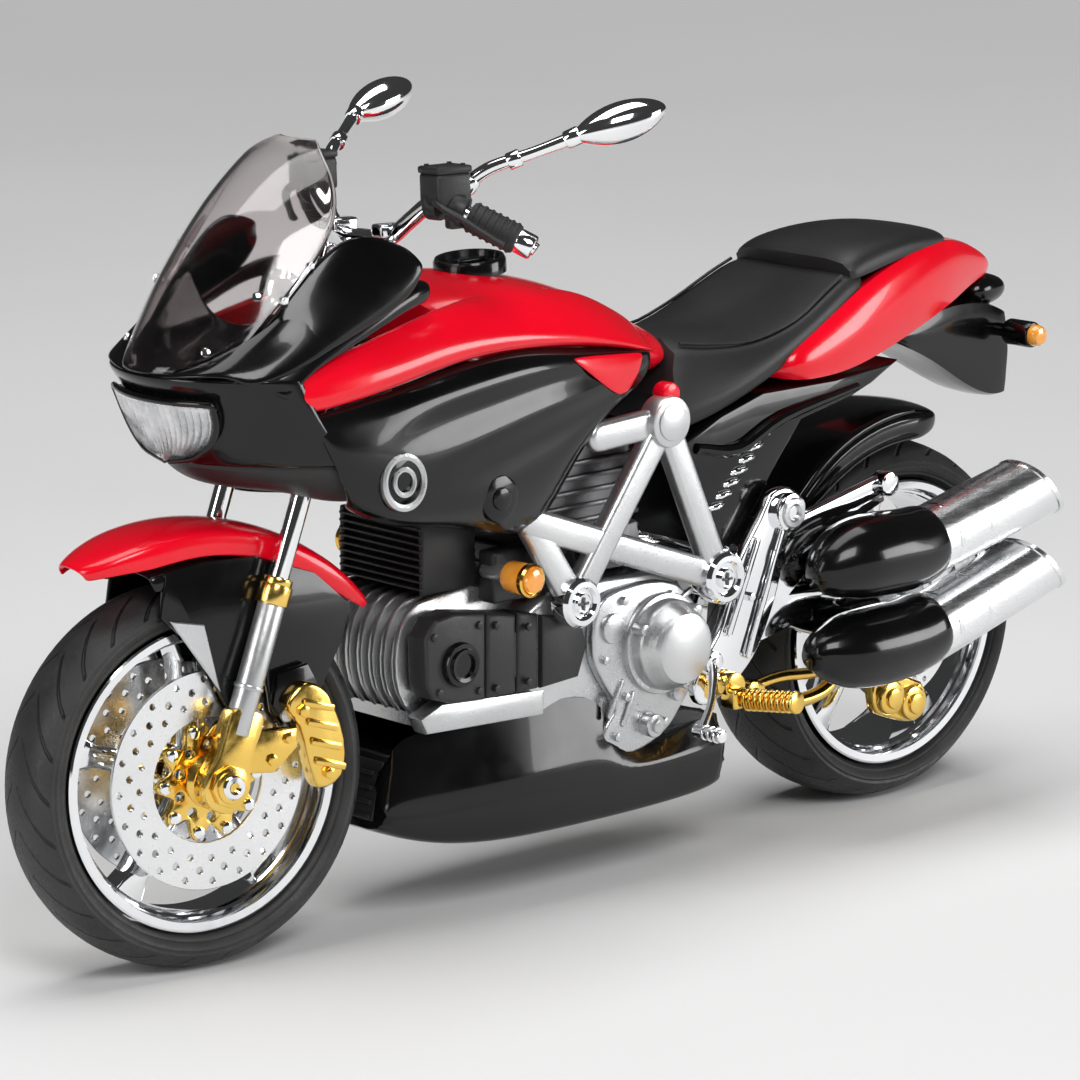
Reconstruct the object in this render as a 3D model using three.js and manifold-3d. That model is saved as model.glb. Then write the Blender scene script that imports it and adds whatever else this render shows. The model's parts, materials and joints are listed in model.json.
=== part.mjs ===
// A 1:12 scale sports motorcycle with turning steering, sprung fork and swingarm, free
// wheels and a side stand. Millimetres, +X forward, +Y to the rider's left, +Z up.
import * as THREE from 'three';
import { mergeVertices } from 'three/addons/utils/BufferGeometryUtils.js';
import Module from 'manifold-3d';

const wasm = await Module();
wasm.setup();

// ---- driving dimensions ----
const deg = Math.PI / 180;
const gap = 0.35;                  // clearance between neighbouring pieces
const bodyShift = [1.5, -2.2];     // centres the bounding box on the origin
const steerTurn = -8 * deg;        // bars rest turned a little to the right
const rake = 21 * deg;

const front = { x: 57.1, z: 22.9, tyreRadius: 22.9, halfTyre: 5.15, lipRadius: 18.2,
  halfRim: 4.3, spokeHalf: 1.9, discRadius: 13, discY: 4.6 };
const rear = { x: -57.1, z: 23.95, tyreRadius: 23.95, halfTyre: 7.2, lipRadius: 18.9,
  halfRim: 6.4, spokeHalf: 2.4, discRadius: 10.5, discY: 6.9 };
const axleRadius = 1.0;
const boreRadius = 1.35;
const discThick = 0.6;

const steerAxis = { x: 53.4, z: 22.9 };   // where the steering axis meets axle height
const legY = 8.2;
const legRadius = 1.6;
const stanchionRadius = 1.2;
const pivot = { x: -18.3, z: 37.2 };      // swingarm pivot
const frameInner = 12.2;
const frameOuter = 14.6;

// ---- finishes ----
const finish = (color, roughness, metalness) =>
  new THREE.MeshStandardMaterial({ color, roughness, metalness });
const red = () => finish(0xe8101f, 0.2, 0);
const glossBlack = () => finish(0x0c0c0d, 0.15, 0);
const mattBlack = () => finish(0x1b1b1c, 0.6, 0);
const rubber = () => finish(0x141414, 0.85, 0);
const chrome = () => finish(0xe6e8ea, 0.08, 1);
const satin = () => finish(0xb9bbbd, 0.4, 0.9);
const gold = () => finish(0xd8a93a, 0.25, 1);
const amber = () => finish(0xe59a2c, 0.2, 0);
const smoke = () => finish(0x8d8483, 0.1, 0);
const clear = () => finish(0xd8dcdf, 0.1, 0);

// ---- solids ----
function toSolid(geometry) {
  const shell = geometry.clone();
  shell.deleteAttribute('normal');
  shell.deleteAttribute('uv');
  const merged = mergeVertices(shell, 1e-4);
  return new wasm.Manifold(new wasm.Mesh({
    numProp: 3,
    vertProperties: new Float32Array(merged.attributes.position.array),
    triVerts: new Uint32Array(merged.index.array),
  }));
}

function toGeometry(body) {
  const mesh = body.getMesh();
  const geometry = new THREE.BufferGeometry();
  geometry.setAttribute('position', new THREE.BufferAttribute(mesh.vertProperties, 3));
  geometry.setIndex(new THREE.BufferAttribute(mesh.triVerts, 1));
  return geometry;
}

const join = (...shapes) => toGeometry(shapes.map(toSolid).reduce((a, b) => a.add(b)));
const cut = (shape, ...tools) =>
  toGeometry(tools.map(toSolid).reduce((a, b) => a.subtract(b), toSolid(shape)));
const overlap = (a, b) => toGeometry(toSolid(a).intersect(toSolid(b)));

// takes a neighbour away together with a clearance on every side of it
function clearOf(shape, ...neighbours) {
  const steps = [[gap, 0, 0], [-gap, 0, 0], [0, gap, 0], [0, -gap, 0], [0, 0, gap], [0, 0, -gap]];
  let body = toSolid(shape);
  for (const neighbour of neighbours) {
    for (const step of steps) {
      body = body.subtract(toSolid(neighbour.clone().translate(...step)));
    }
  }
  return toGeometry(body);
}

function reshape(geometry, move) {
  const place = geometry.attributes.position;
  const point = new THREE.Vector3();
  for (let i = 0; i < place.count; i += 1) {
    point.fromBufferAttribute(place, i);
    move(point);
    place.setXYZ(i, point.x, point.y, point.z);
  }
  return geometry;
}

const box = (size, centre) => new THREE.BoxGeometry(...size).translate(...centre);

function rod(radius, from, to, sides = 14) {
  const a = new THREE.Vector3(...from);
  const b = new THREE.Vector3(...to);
  const along = b.clone().sub(a);
  const turn = new THREE.Quaternion().setFromUnitVectors(
    new THREE.Vector3(0, 1, 0), along.clone().normalize());
  const shape = new THREE.CylinderGeometry(radius, radius, along.length(), sides);
  shape.applyQuaternion(turn);
  return shape.translate(...a.add(b).multiplyScalar(0.5).toArray());
}

const cross = (radius, x, z, y0, y1, sides = 16) => rod(radius, [x, y0, z], [x, y1, z], sides);

// a plate drawn in side view, [x, z] points, between two values of y
function plate(points, y0, y1, bevel = 0) {
  const outline = new THREE.Shape(points.map(([x, z]) => new THREE.Vector2(x, z)));
  const shape = new THREE.ExtrudeGeometry(outline, {
    depth: y1 - y0 - 2 * bevel, bevelEnabled: bevel > 0, bevelThickness: bevel,
    bevelSize: bevel, bevelOffset: -bevel, bevelSegments: 2, curveSegments: 8,
  });
  return shape.rotateX(Math.PI / 2).translate(0, y1 - bevel, 0);
}

// a body drawn in side view, centred on the bike, with its own half width at each x
function slab(points, halfWidth, bevel, widthAt = () => 1) {
  return reshape(plate(points, -halfWidth, halfWidth, bevel), (p) => {
    p.y *= widthAt(p.x, p.z);
  });
}

const blendAt = (value, low, high) => THREE.MathUtils.smoothstep(value, low, high);

// a flat bar with round ends, in side view
function bar(from, to, halfWidth, y0, y1) {
  const angle = Math.atan2(to[1] - from[1], to[0] - from[0]);
  const outline = new THREE.Shape();
  outline.absarc(from[0], from[1], halfWidth, angle + Math.PI / 2, angle + 1.5 * Math.PI);
  outline.absarc(to[0], to[1], halfWidth, angle - Math.PI / 2, angle + Math.PI / 2);
  return plate(outline.getPoints(3).map((p) => [p.x, p.y]), y0, y1);
}

// an arched plate round a wheel centre, angles counted from +X
function arch(centre, inner, outer, from, to, halfWidth) {
  const outline = new THREE.Shape();
  outline.absarc(centre.x, centre.z, outer, from * deg, to * deg);
  outline.absarc(centre.x, centre.z, inner, to * deg, from * deg, true);
  return plate(outline.getPoints(9).map((p) => [p.x, p.y]), -halfWidth, halfWidth);
}

// a turned piece about the Y axis, from [radius, y] points
function turned(profile, segments = 32) {
  const shape = new THREE.LatheGeometry(profile.map(([r, y]) => new THREE.Vector2(r, y)), segments);
  return toGeometry(toSolid(shape));
}

function tube(points, radius, sides = 10, steps = 12) {
  const path = new THREE.CatmullRomCurve3(points.map((p) => new THREE.Vector3(...p)));
  const ring = new THREE.Shape();
  ring.absarc(0, 0, radius, 0, 2 * Math.PI);
  ring.autoClose = true;
  const section = new THREE.Shape(ring.getSpacedPoints(sides).slice(0, sides));
  return new THREE.ExtrudeGeometry(section, { steps, extrudePath: path, bevelEnabled: false });
}

const mirrored = (geometry) => {
  const copy = toGeometry(toSolid(geometry));
  reshape(copy, (p) => { p.y = -p.y; });
  const index = copy.index.array;
  for (let i = 0; i < index.length; i += 3) {
    [index[i + 1], index[i + 2]] = [index[i + 2], index[i + 1]];
  }
  return copy;
};

function piece(name, geometry, material) {
  const mesh = new THREE.Mesh(geometry, material);
  mesh.name = name;
  return mesh;
}

// ---- wheels, each about its own axle at the group's origin ----
function tyre(wheel) {
  const inner = wheel.lipRadius + 0.3;
  const w = wheel.halfTyre;
  const r = wheel.tyreRadius;
  const side = [[inner, 0.84 * w], [0.45 * inner + 0.55 * r, w], [r - 1.1, 0.76 * w],
    [r - 0.25, 0.38 * w]];
  const other = side.map(([a, y]) => [a, -y]).reverse();
  return turned([...side, [r, 0], ...other, side[0]].reverse());
}

function rim(wheel) {
  const lip = wheel.lipRadius;
  const h = wheel.halfRim;
  const barrel = turned([[lip - 0.9, h], [lip - 1.8, h - 1.2], [lip - 1.8, 1.2 - h],
    [lip - 0.9, -h], [lip, -h], [lip - 0.5, 1.2 - h], [lip - 0.5, h - 1.2],
    [lip, h], [lip - 0.9, h]]);
  const hub = cross(3.6, 0, 0, -h, h);
  const spokes = [];
  for (let i = 0; i < 5; i += 1) {
    const a = (90 + 72 * i) * deg;
    const reach = lip - 1.4;
    spokes.push(bar([2 * Math.cos(a), 2 * Math.sin(a)], [reach * Math.cos(a), reach * Math.sin(a)],
      1.6, -wheel.spokeHalf, wheel.spokeHalf));
  }
  const trimmed = overlap(join(hub, ...spokes), cross(lip - 1.2, 0, 0, -h, h, 32));
  return cut(join(barrel, trimmed), cross(boreRadius, 0, 0, -h - 1, h + 1));
}

function disc(wheel, side) {
  const y0 = side * wheel.discY;
  const y1 = side * (wheel.discY + discThick);
  const plain = cross(wheel.discRadius, 0, 0, y0, y1, 32);
  return cut(plain, cross(boreRadius + 0.3, 0, 0, y0 - side, y1 + side, 16));
}

function frontWheel() {
  const group = new THREE.Group();
  group.position.set(front.x, 0, front.z);
  group.add(
    piece('front_tyre', tyre(front), rubber()),
    piece('front_rim', rim(front), chrome()),
    piece('front_disc_left', disc(front, 1), satin()),
    piece('front_disc_right', disc(front, -1), satin()),
  );
  return group;
}

function rearWheel() {
  const group = new THREE.Group();
  group.position.set(rear.x, 0, rear.z);
  group.add(
    piece('rear_tyre', tyre(rear), rubber()),
    piece('rear_rim', rim(rear), chrome()),
    piece('rear_disc', disc(rear, 1), satin()),
  );
  return group;
}

// ---- fork: drawn upright at the origin, then leant back by the rake about the axle ----
const forkFrame = (shape) => shape.rotateY(-rake).translate(front.x, 0, front.z);
const sliderTop = 24.7;
const yoke = { low: 38.6, lowThick: 3, top: 57, topThick: 2.4, stemX: -3.45 };

function slider(side) {
  const y = side * legY;
  const leg = rod(legRadius, [0, y, 2], [0, y, sliderTop], 16);
  const boss = cross(3.0, 0, 0, y - side * 1.6, y + side * 1.6);
  const lug = box([6.5, 1.4, 5], [-3.2, y, 5.5]);
  const bore = rod(stanchionRadius + 0.12, [0, y, 14], [0, y, sliderTop + 1], 16);
  return forkFrame(cut(join(leg, boss, lug), bore, cross(boreRadius, 0, 0, y - 3, y + 3)));
}

const stanchion = (side) =>
  forkFrame(rod(stanchionRadius, [0, side * legY, 18.5], [0, side * legY, 60.5], 16));

function steeringYoke() {
  const clamp = (z, thick, ends) => join(
    box([7, 2 * legY + 2, thick], [-2.2, 0, z + thick / 2]),
    ...[-1, 1].map((s) => rod(ends, [0, s * legY, z], [0, s * legY, z + thick], 12)));
  const stem = rod(1.5, [yoke.stemX, 0, yoke.low + 1], [yoke.stemX, 0, yoke.top + 1]);
  const risers = [-1, 1].map((s) => rod(1.5, [-3.9, s * 5, yoke.top + 1], [-3.9, s * 5, 64.2]));
  const holes = [-1, 1].map((s) =>
    rod(stanchionRadius + 0.35, [0, s * legY, 30], [0, s * legY, 66], 12));
  return forkFrame(cut(join(clamp(yoke.low, yoke.lowThick, 2.5), clamp(yoke.top, yoke.topThick, 2.5),
    stem, ...risers), ...holes));
}

// ---- handlebar, controls and mirrors ----
const barRoot = [29.0, 0, 83.4];
const barEnd = [20.2, 22.2, 82.8];
const gripStart = [25.4, 16.6, 86.8];

function barPath() {
  const half = (s) => [[29, 4.9 * s, 83.6], [28.6, 9 * s, 86], [27.9, 12.6 * s, 88.2],
    [27.0, 14.8 * s, 88.2]];
  return [...half(-1).reverse(), barRoot, ...half(1)];
}

function handlebar() {
  return tube(barPath(), 1.0, 8, 20);
}

function grip(side) {
  const shell = rod(1.75, [gripStart[0], side * gripStart[1], gripStart[2]],
    [21.6, side * 20.7, 83.9], 16);
  const cap = rod(1.45, [22, side * 20.3, 84.2], [barEnd[0], side * barEnd[1], barEnd[2]], 16);
  return join(shell, cap);
}

function control(side) {
  const cube = box([4.6, 4.2, 5], [27.0, side * 14.2, 90.2]);
  const clampRing = rod(1.9, [27.9, side * 12.4, 88.2], [27.2, side * 13.9, 88.1], 10);
  const lever = tube([[28.4, side * 14.8, 89], [28.0, side * 18, 87.2], [25.7, side * 21.2, 84.6]],
    0.7, 6, 6);
  return cut(join(cube, clampRing, lever), tube(barPath(), 1.4, 8, 20));
}

function mirror(side) {
  const stalk = tube([[24.2, side * 15.2, 90.6], [20, side * 19, 93.2], [14.6, side * 23.4, 95.6]],
    0.8, 8, 4);
  const head = new THREE.SphereGeometry(1, 14, 8).scale(6.0, 3.0, 2.6)
    .rotateY(10 * deg).rotateZ(-side * 15 * deg).translate(9.8, side * 25.2, 96.6);
  return join(stalk, head);
}

// ---- front fender, brace and calipers, riding on the sliders ----
const frontHub = { x: front.x, z: front.z };

function frontFender() {
  const crown = arch(frontHub, 28.9, 30.6, 62, 142, 6.2);
  const skirt = (s) => arch(frontHub, 27.2, 30.2, 64, 140, 0.45).translate(0, s * 5.75, 0);
  return join(crown, skirt(1), skirt(-1));
}

function fenderBrace() {
  const roof = arch(frontHub, 24.9, 26.7, 72, 136, 6.2);
  const cheek = (s) => plate([[63.2, 43], [62.2, 48.2], [50, 49], [37.2, 41.2], [38.8, 36.8],
    [43.5, 28.4], [46.4, 28.2], [48.6, 36], [52.6, 29.6]], s > 0 ? 5.6 : -6.2, s > 0 ? 6.2 : -5.6);
  const trim = [-1, 1].map((s) => box([80, 20, 80], [57, s * 16.2, 60]));
  return cut(join(roof, cheek(1), cheek(-1)), ...trim);
}

function frontCaliper(side) {
  const body = plate([[48.4, 31.2], [45.6, 33.4], [42.6, 31.6], [40.6, 26], [41.2, 21.6],
    [44.4, 20.6], [45.6, 24], [46.6, 28.2]], 6.7, 9.6, 0.5);
  return side > 0 ? body : mirrored(body);
}

function steeringGroup() {
  const turn = new THREE.Group();
  const axis = new THREE.Vector3(-Math.sin(rake), 0, Math.cos(rake));
  turn.position.set(steerAxis.x, 0, steerAxis.z);
  turn.quaternion.setFromAxisAngle(axis, steerTurn);
  const ahead = new THREE.Group();
  ahead.position.set(-steerAxis.x, 0, -steerAxis.z);
  turn.add(ahead);
  ahead.add(
    piece('steering_yoke', steeringYoke(), satin()),
    piece('handlebar', handlebar(), chrome()),
    piece('front_fender', frontFender(), red()),
    piece('fender_brace', fenderBrace(), glossBlack()),
    piece('front_axle', cross(axleRadius, front.x, front.z, -10.6, 10.6, 16), gold()),
  );
  for (const [side, name] of [[1, 'left'], [-1, 'right']]) {
    ahead.add(
      piece(`stanchion_${name}`, stanchion(side), chrome()),
      piece(`slider_${name}`, slider(side), satin()),
      piece(`grip_${name}`, grip(side), mattBlack()),
      piece(`control_${name}`, control(side), mattBlack()),
      piece(`mirror_${name}`, mirror(side), chrome()),
      piece(`front_caliper_${name}`, frontCaliper(side), gold()),
    );
  }
  ahead.add(frontWheel());
  return turn;
}

// ---- rear end ----
function swingarm() {
  const outline = [[pivot.x + 3, pivot.z + 2.4], [pivot.x - 4, pivot.z + 3.4], [-44, 33], [-58, 27.2],
    [-60.4, 24], [-58, 21.4], [-52, 21.4], [-34, 27], [pivot.x + 2, pivot.z - 2.6]];
  const arms = [plate(outline, 9, 11.6), plate(outline, -11.6, -9)];
  const bridge = box([7, 19, 4.6], [pivot.x - 6.6, 0, pivot.z - 2]);
  return cut(join(...arms, bridge), cross(boreRadius, rear.x, rear.z, -13, 13));
}

const hugger = () => join(arch(rear, 26.4, 29.0, 38, 104, 8.4),
  ...[-1, 1].map((s) => arch(rear, 24.9, 28.6, 40, 100, 0.45).translate(0, s * 7.95, 0)));

function rearCaliper() {
  const lobes = [cross(2.3, -52.4, 15.2, 8.0, 11), cross(2.3, -56.6, 13.8, 8.0, 11)];
  const back = plate([[-51, 17.4], [-51.6, 13], [-57.4, 11.6], [-58.6, 15.6]], 8.0, 9.6);
  return join(...lobes, back);
}

// ---- middle ----
const boss = { top: [-7.4, 58.4], rear: [-16.9, 37.4], low: [7.7, 38.1], high: [15, 48.9],
  stub: [3.6, 57.8] };

function frameSide(side) {
  const members = [[boss.top, boss.rear], [boss.top, boss.low], [boss.rear, boss.high],
    [boss.low, boss.high], [boss.top, boss.stub]];
  const bars = members.map(([a, b]) => bar(a, b, 1.9, frameInner, frameOuter));
  const ends = [boss.top, boss.rear, boss.low].map(([x, z]) =>
    cross(3.1, x, z, frameInner, frameOuter + 0.6));
  const whole = join(...bars, ...ends);
  return side > 0 ? whole : mirrored(whole);
}

const engineBlock = () => slab([[9, 39.6], [-11, 39.6], [-15.6, 33], [-14, 22], [-8, 17.2], [6, 17.2],
  [10, 22], [13, 27], [13.4, 37]], 11.4, 0.6);
const alternatorCover = () => cross(4.9, -7.9, 30.3, 11.75, 17.6, 28);
const frontCylinder = () => slab([[13.8, 25.6], [27, 25.4], [30.2, 28.8], [31.4, 37.4], [27, 39.6],
  [13.8, 39.2]], 8.0, 0.8);
const rearCylinder = () => slab([[-7.5, 40], [8.5, 40], [9.5, 57], [-5.5, 57]], 8.6, 0.8);

function timingCover() {
  const shell = plate([[30.6, 38.2], [26, 39.4], [11.6, 37.0], [11.6, 27.4], [26, 28], [30.6, 30.2]],
    8.4, 12.6, 0.7);
  const cap = cross(2.6, 25.4, 33, 12, 13.6, 20);
  const root = box([9, 4.6, 14], [9.3, 10, 32]);
  return cut(join(shell, cap), root);
}

const oilCooler = () => box([9, 15, 9], [22.6, 0, 45.1]);

const bellyOutline = [[34.2, 15.6], [31, 24.4], [28, 24.2], [14, 23.4], [12, 20],
  [8, 16.2], [-9, 16.2], [-15, 19.4], [-20.4, 18], [-21.4, 11], [-19, 8.4], [20, 8.4], [33.4, 12.4]];
const bellyPan = () => slab(bellyOutline, 13.2, 1.2, (x) => 1 - 0.4 * blendAt(x, 14, 36)
  - 0.12 * blendAt(-x, 8, 22));

// ---- bodywork ----
const tankOutline = [[-16.2, 66.9], [-12, 68.6], [-4, 71.6], [4, 75.6], [10, 77.2], [20, 78.4],
  [25, 77], [26.5, 73], [24, 60.4], [-6, 60.4], [-12.6, 61.6]];
const spearOutline = [[53.8, 70.6], [44, 74.2], [33, 76.8], [20, 77.2], [8, 75.2], [-5, 67.6],
  [6, 68.6], [20, 70.4], [36, 68.6], [50.9, 66.4]];
const spear = () => slab(spearOutline, 15.2, 0.8, (x) => 1 - 0.18 * blendAt(-x, -6, 6)
  - 0.08 * blendAt(x, 44, 54));
const spearSides = () => cut(spear(), box([70, 23.0, 30], [30, 0, 70]));

// room for the fork and its clamps to turn inside the bodywork
const swept = () => rod(12.0, [steerAxis.x - 26 * Math.tan(rake), 0, steerAxis.z + 26],
  [steerAxis.x - 75 * Math.tan(rake), 0, steerAxis.z + 75], 32);

function fuelTank() {
  const core = slab(tankOutline, 12.0, 2.2, (x) => 1 - 0.55 * blendAt(-x, 0, 17));
  const well = cross(5.0, 0, 0, 0, 3).rotateX(Math.PI / 2).translate(12.2, 0, 76.4);
  const belowPods = box([50, 8, 14], [14, 0, 55]);
  return cut(join(core, spearSides()), well, swept(), belowPods);
}

const fillerCap = () => cross(4.4, 0, 0, 0, 1.9, 24).rotateX(Math.PI / 2).translate(12.2, 0, 78.8);

const podOutline = [[50.2, 65.8], [36, 67.9], [20, 69.7], [6, 67.9], [-5.4, 66.9], [-8.2, 66.2],
  [-6, 64.4], [1.4, 62.2], [8, 54], [12.4, 47.4], [17, 45], [28, 49.6], [38, 51.2], [44.8, 55.2]];
function sidePod(side) {
  const taper = (x) => 1 - 0.22 * blendAt(-x, -12, 8) - 0.1 * blendAt(x, 40, 51);
  const whole = slab(podOutline, 17.4, 1.0, taper);
  const inner = box([80, 25.2, 40], [20, 0, 56]);
  const half = box([80, 30, 40], [20, -15 * side, 56]);
  const frameRoom = box([26, 30.2, 26], [4.5, 0, 47]);
  return cut(whole, inner, half, frameRoom, swept());
}

const noseBend = (p) => { p.x -= 0.03 * p.y * p.y * blendAt(p.x, 52, 62); };
const noseOutline = [[63.9, 71.2], [56, 74.6], [45, 79.4], [33.6, 83.6], [31.6, 82], [40, 76.4],
  [54.2, 71.4], [51.4, 66.2], [45.4, 55], [48.6, 54.6], [54.6, 56.5], [58.4, 60], [61, 66.4]];
function noseBody() {
  return reshape(slab(noseOutline, 15.2, 0.8, (x) => 1 - 0.3 * blendAt(x, 46, 64)), noseBend);
}
function lampPrism(grow) {
  const half = new THREE.Shape();
  const w = 8.8 + grow;
  half.moveTo(-w, 68.4 + grow);
  half.lineTo(w, 68.4 + grow);
  half.quadraticCurveTo(w - 0.6, 60.4 - grow, 0, 60.2 - grow);
  half.quadraticCurveTo(0.6 - w, 60.4 - grow, -w, 68.4 + grow);
  return new THREE.ExtrudeGeometry(half, { depth: 14 + grow, bevelEnabled: false, curveSegments: 6 })
    .rotateX(Math.PI / 2).rotateZ(Math.PI / 2).translate(54 - grow, 0, 0);
}
const headlightLens = () => overlap(noseBody(), lampPrism(0));
function noseFairing() {
  const lit = cut(noseBody(), lampPrism(gap), swept());
  return clearOf(lit, spearSides());
}

function windscreen() {
  const outline = [[64.4, 71.2], [58.6, 81], [52, 88.6], [45.5, 94.2], [39.2, 96.6], [38.6, 95.9],
    [44.8, 93.5], [51.2, 87.9], [57.7, 80.5], [63.4, 71.0]];
  const flat = new THREE.ExtrudeGeometry(
    new THREE.Shape(outline.map(([x, z]) => new THREE.Vector2(x, z))),
    { depth: 24, steps: 10, bevelEnabled: false },
  ).rotateX(Math.PI / 2).translate(0, 12, 0);
  const shell = reshape(flat, (p) => {
    p.y *= 0.72 + 0.28 * blendAt(p.z, 71, 86) - 0.42 * blendAt(p.z, 87, 97);
    p.x -= 0.072 * p.y * p.y;
  });
  const above = plate([[66, 71.0], [57, 74.9], [45.5, 79.9], [32, 85.2], [32, 99], [66, 99]], -14, 14);
  return overlap(shell, above);
}

// ---- seat and tail ----
const seatOutline = [[-17, 66.4], [-24, 66.0], [-33, 67.6], [-40, 71.2], [-44.2, 74.2], [-50, 75.6],
  [-59, 76], [-65, 75.2], [-66.8, 73], [-57, 71.8], [-46, 68], [-36, 64.8], [-27.4, 61],
  [-20, 58], [-12.4, 55], [-10.6, 57.4], [-13, 61.2]];
const seatSolid = () => slab(seatOutline, 12.2, 1.4, (x) => 1 - 0.28 * blendAt(-x, 46, 67)
  - 0.2 * blendAt(x, -30, -12));
const tailOutline = [[-27.6, 60.2], [-36, 64.2], [-46, 67.4], [-57, 71.2], [-67, 72.4], [-67.6, 74],
  [-73, 72.4], [-79.8, 68.2], [-75, 66.4], [-65, 64.4], [-53, 61.4], [-40, 59.8]];
const tailCowl = () => slab(tailOutline, 13.6, 1.0, (x) => 1 - 0.8 * blendAt(-x, 46, 82));

const tailLight = () => slab([[-74.6, 65.9], [-80.2, 67.6], [-82.8, 65.6], [-81.6, 62.6], [-77, 62.4]],
  4.6, 0.8, (x) => 1 - 0.3 * blendAt(-x, 76, 83));

function plateHolder() {
  const blade = slab([[-57, 61.2], [-70, 62.6], [-77, 61.8], [-81, 60], [-81, 50.4], [-78.5, 49.9],
    [-71, 52.6]], 4.6, 0.6);
  const arms = rod(0.9, [-78.4, -8, 60.2], [-78.4, 8, 60.2], 10);
  const lamps = [-1, 1].map((s) => rod(1.7, [-78.4, s * 6.6, 60.2], [-78.4, s * 12.4, 60.2], 14));
  return join(blade, arms, ...lamps);
}

const innerFender = () => slab([[-11.6, 54], [-19.6, 57.2], [-27, 59.4], [-40, 59.3], [-52, 60.4],
  [-46, 57.6], [-33, 55.4], [-27, 52.6], [-23, 46], [-20.8, 42], [-18, 42.4], [-13, 52]],
  11.4, 0.8);

// ---- exhaust ----
function muffler(from, to, capFrom) {
  const body = rod(4.3, from, to, 18);
  const along = new THREE.Vector3(...to).sub(new THREE.Vector3(...from)).normalize();
  const cone = new THREE.CylinderGeometry(4.9, 2.2, 15, 18, 3);
  reshape(cone, (p) => {
    const swell = Math.sin(Math.PI * Math.min(1, (p.y + 7.5) / 15) * 0.5);
    const size = Math.hypot(p.x, p.z) || 1;
    const wanted = size < 0.01 ? 1 : (2.2 + 2.9 * swell) / size;
    p.x *= size < 1.5 ? 1 : wanted;
    p.z *= size < 1.5 ? 1 : wanted;
  });
  cone.applyQuaternion(new THREE.Quaternion().setFromUnitVectors(new THREE.Vector3(0, 1, 0), along));
  cone.translate(...capFrom);
  return join(body, cone);
}
const mufflerUpper = () => muffler([-46, 17.2, 36.3], [-71.5, 17.2, 41.9], [-42, 17.4, 35.4]);
const mufflerLower = () => muffler([-46, 17.4, 24.4], [-71.9, 17.4, 31.6], [-41, 17.4, 23.0]);

// ---- foot controls and stand ----
function pegHanger(side) {
  const web = plate([[-21.2, 38.6], [-27.6, 45.8], [-31, 45.4], [-31.4, 42.4], [-27, 32.4],
    [-21, 23.6], [-14.4, 21.6], [-13, 24.6], [-17.6, 31]], 12.2, 13.6);
  const arm = bar([-30, 40.8], [-47.4, 44.8], 1.3, 12.2, 13.6);
  const whole = join(web, arm);
  return side > 0 ? whole : mirrored(whole);
}

function footPeg(side) {
  const peg = rod(1.3, [-18.6, 14.0, 21.6], [-20.2, 24.6, 22.8], 12);
  const root = cross(1.7, -18.4, 23.6, 13.95, 15.4, 14);
  const whole = join(peg, root, rod(1.4, [-18.4, 15.2, 23.4], [-18.6, 16.4, 22], 8));
  return side > 0 ? whole : mirrored(whole);
}

function shiftLever() {
  const hub = cross(1.5, -14.6, 27, 13.95, 15.6, 14);
  const arm = tube([[-14.6, 15, 27], [-12, 17.6, 23.6], [-8.4, 19.6, 20.4]], 0.8, 8, 6);
  const toe = cross(0.9, -8.2, 20.2, 18.8, 23.4, 12);
  return join(hub, arm, toe);
}

function brakePedal() {
  const hub = cross(1.5, -15.6, 27, -15.6, -12.8, 14);
  const arm = tube([[-15.6, -15, 27], [-12, -17.6, 23.4], [-6.8, -19.8, 20.6]], 0.8, 8, 6);
  const toe = box([3.2, 3, 1.2], [-6.4, -19.8, 20.6]);
  return join(hub, arm, toe);
}

const standPivot = [-25.6, 10.9, 20.4];
function sideStand() {
  const leg = tube([standPivot, [-31, 10.9, 18.4], [-37, 11, 18.2], [-42.4, 11, 21]], 1.1, 8, 8);
  const eye = cross(1.9, standPivot[0], standPivot[2], 9.9, 11.9, 14);
  return join(leg, eye);
}

function frontIndicator(side) {
  const stalk = cross(0.9, 17.6, 42.7, 8.2, 13.5, 12);
  const lamp = cross(1.9, 17.6, 42.7, 13.2, 17.6, 18);
  const whole = join(stalk, lamp);
  return side > 0 ? whole : mirrored(whole);
}

function steeringHead() {
  const axisAt = (up) => [steerAxis.x - up * Math.tan(rake), 0, steerAxis.z + up];
  const shell = rod(3.0, axisAt(38.6), axisAt(49.8), 20);
  const backbone = box([9.4, 6, 5.4], [31.9, 0, 65.4]);
  const bore = rod(1.9, axisAt(34), axisAt(56), 20);
  return cut(join(shell, backbone), bore);
}

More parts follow.
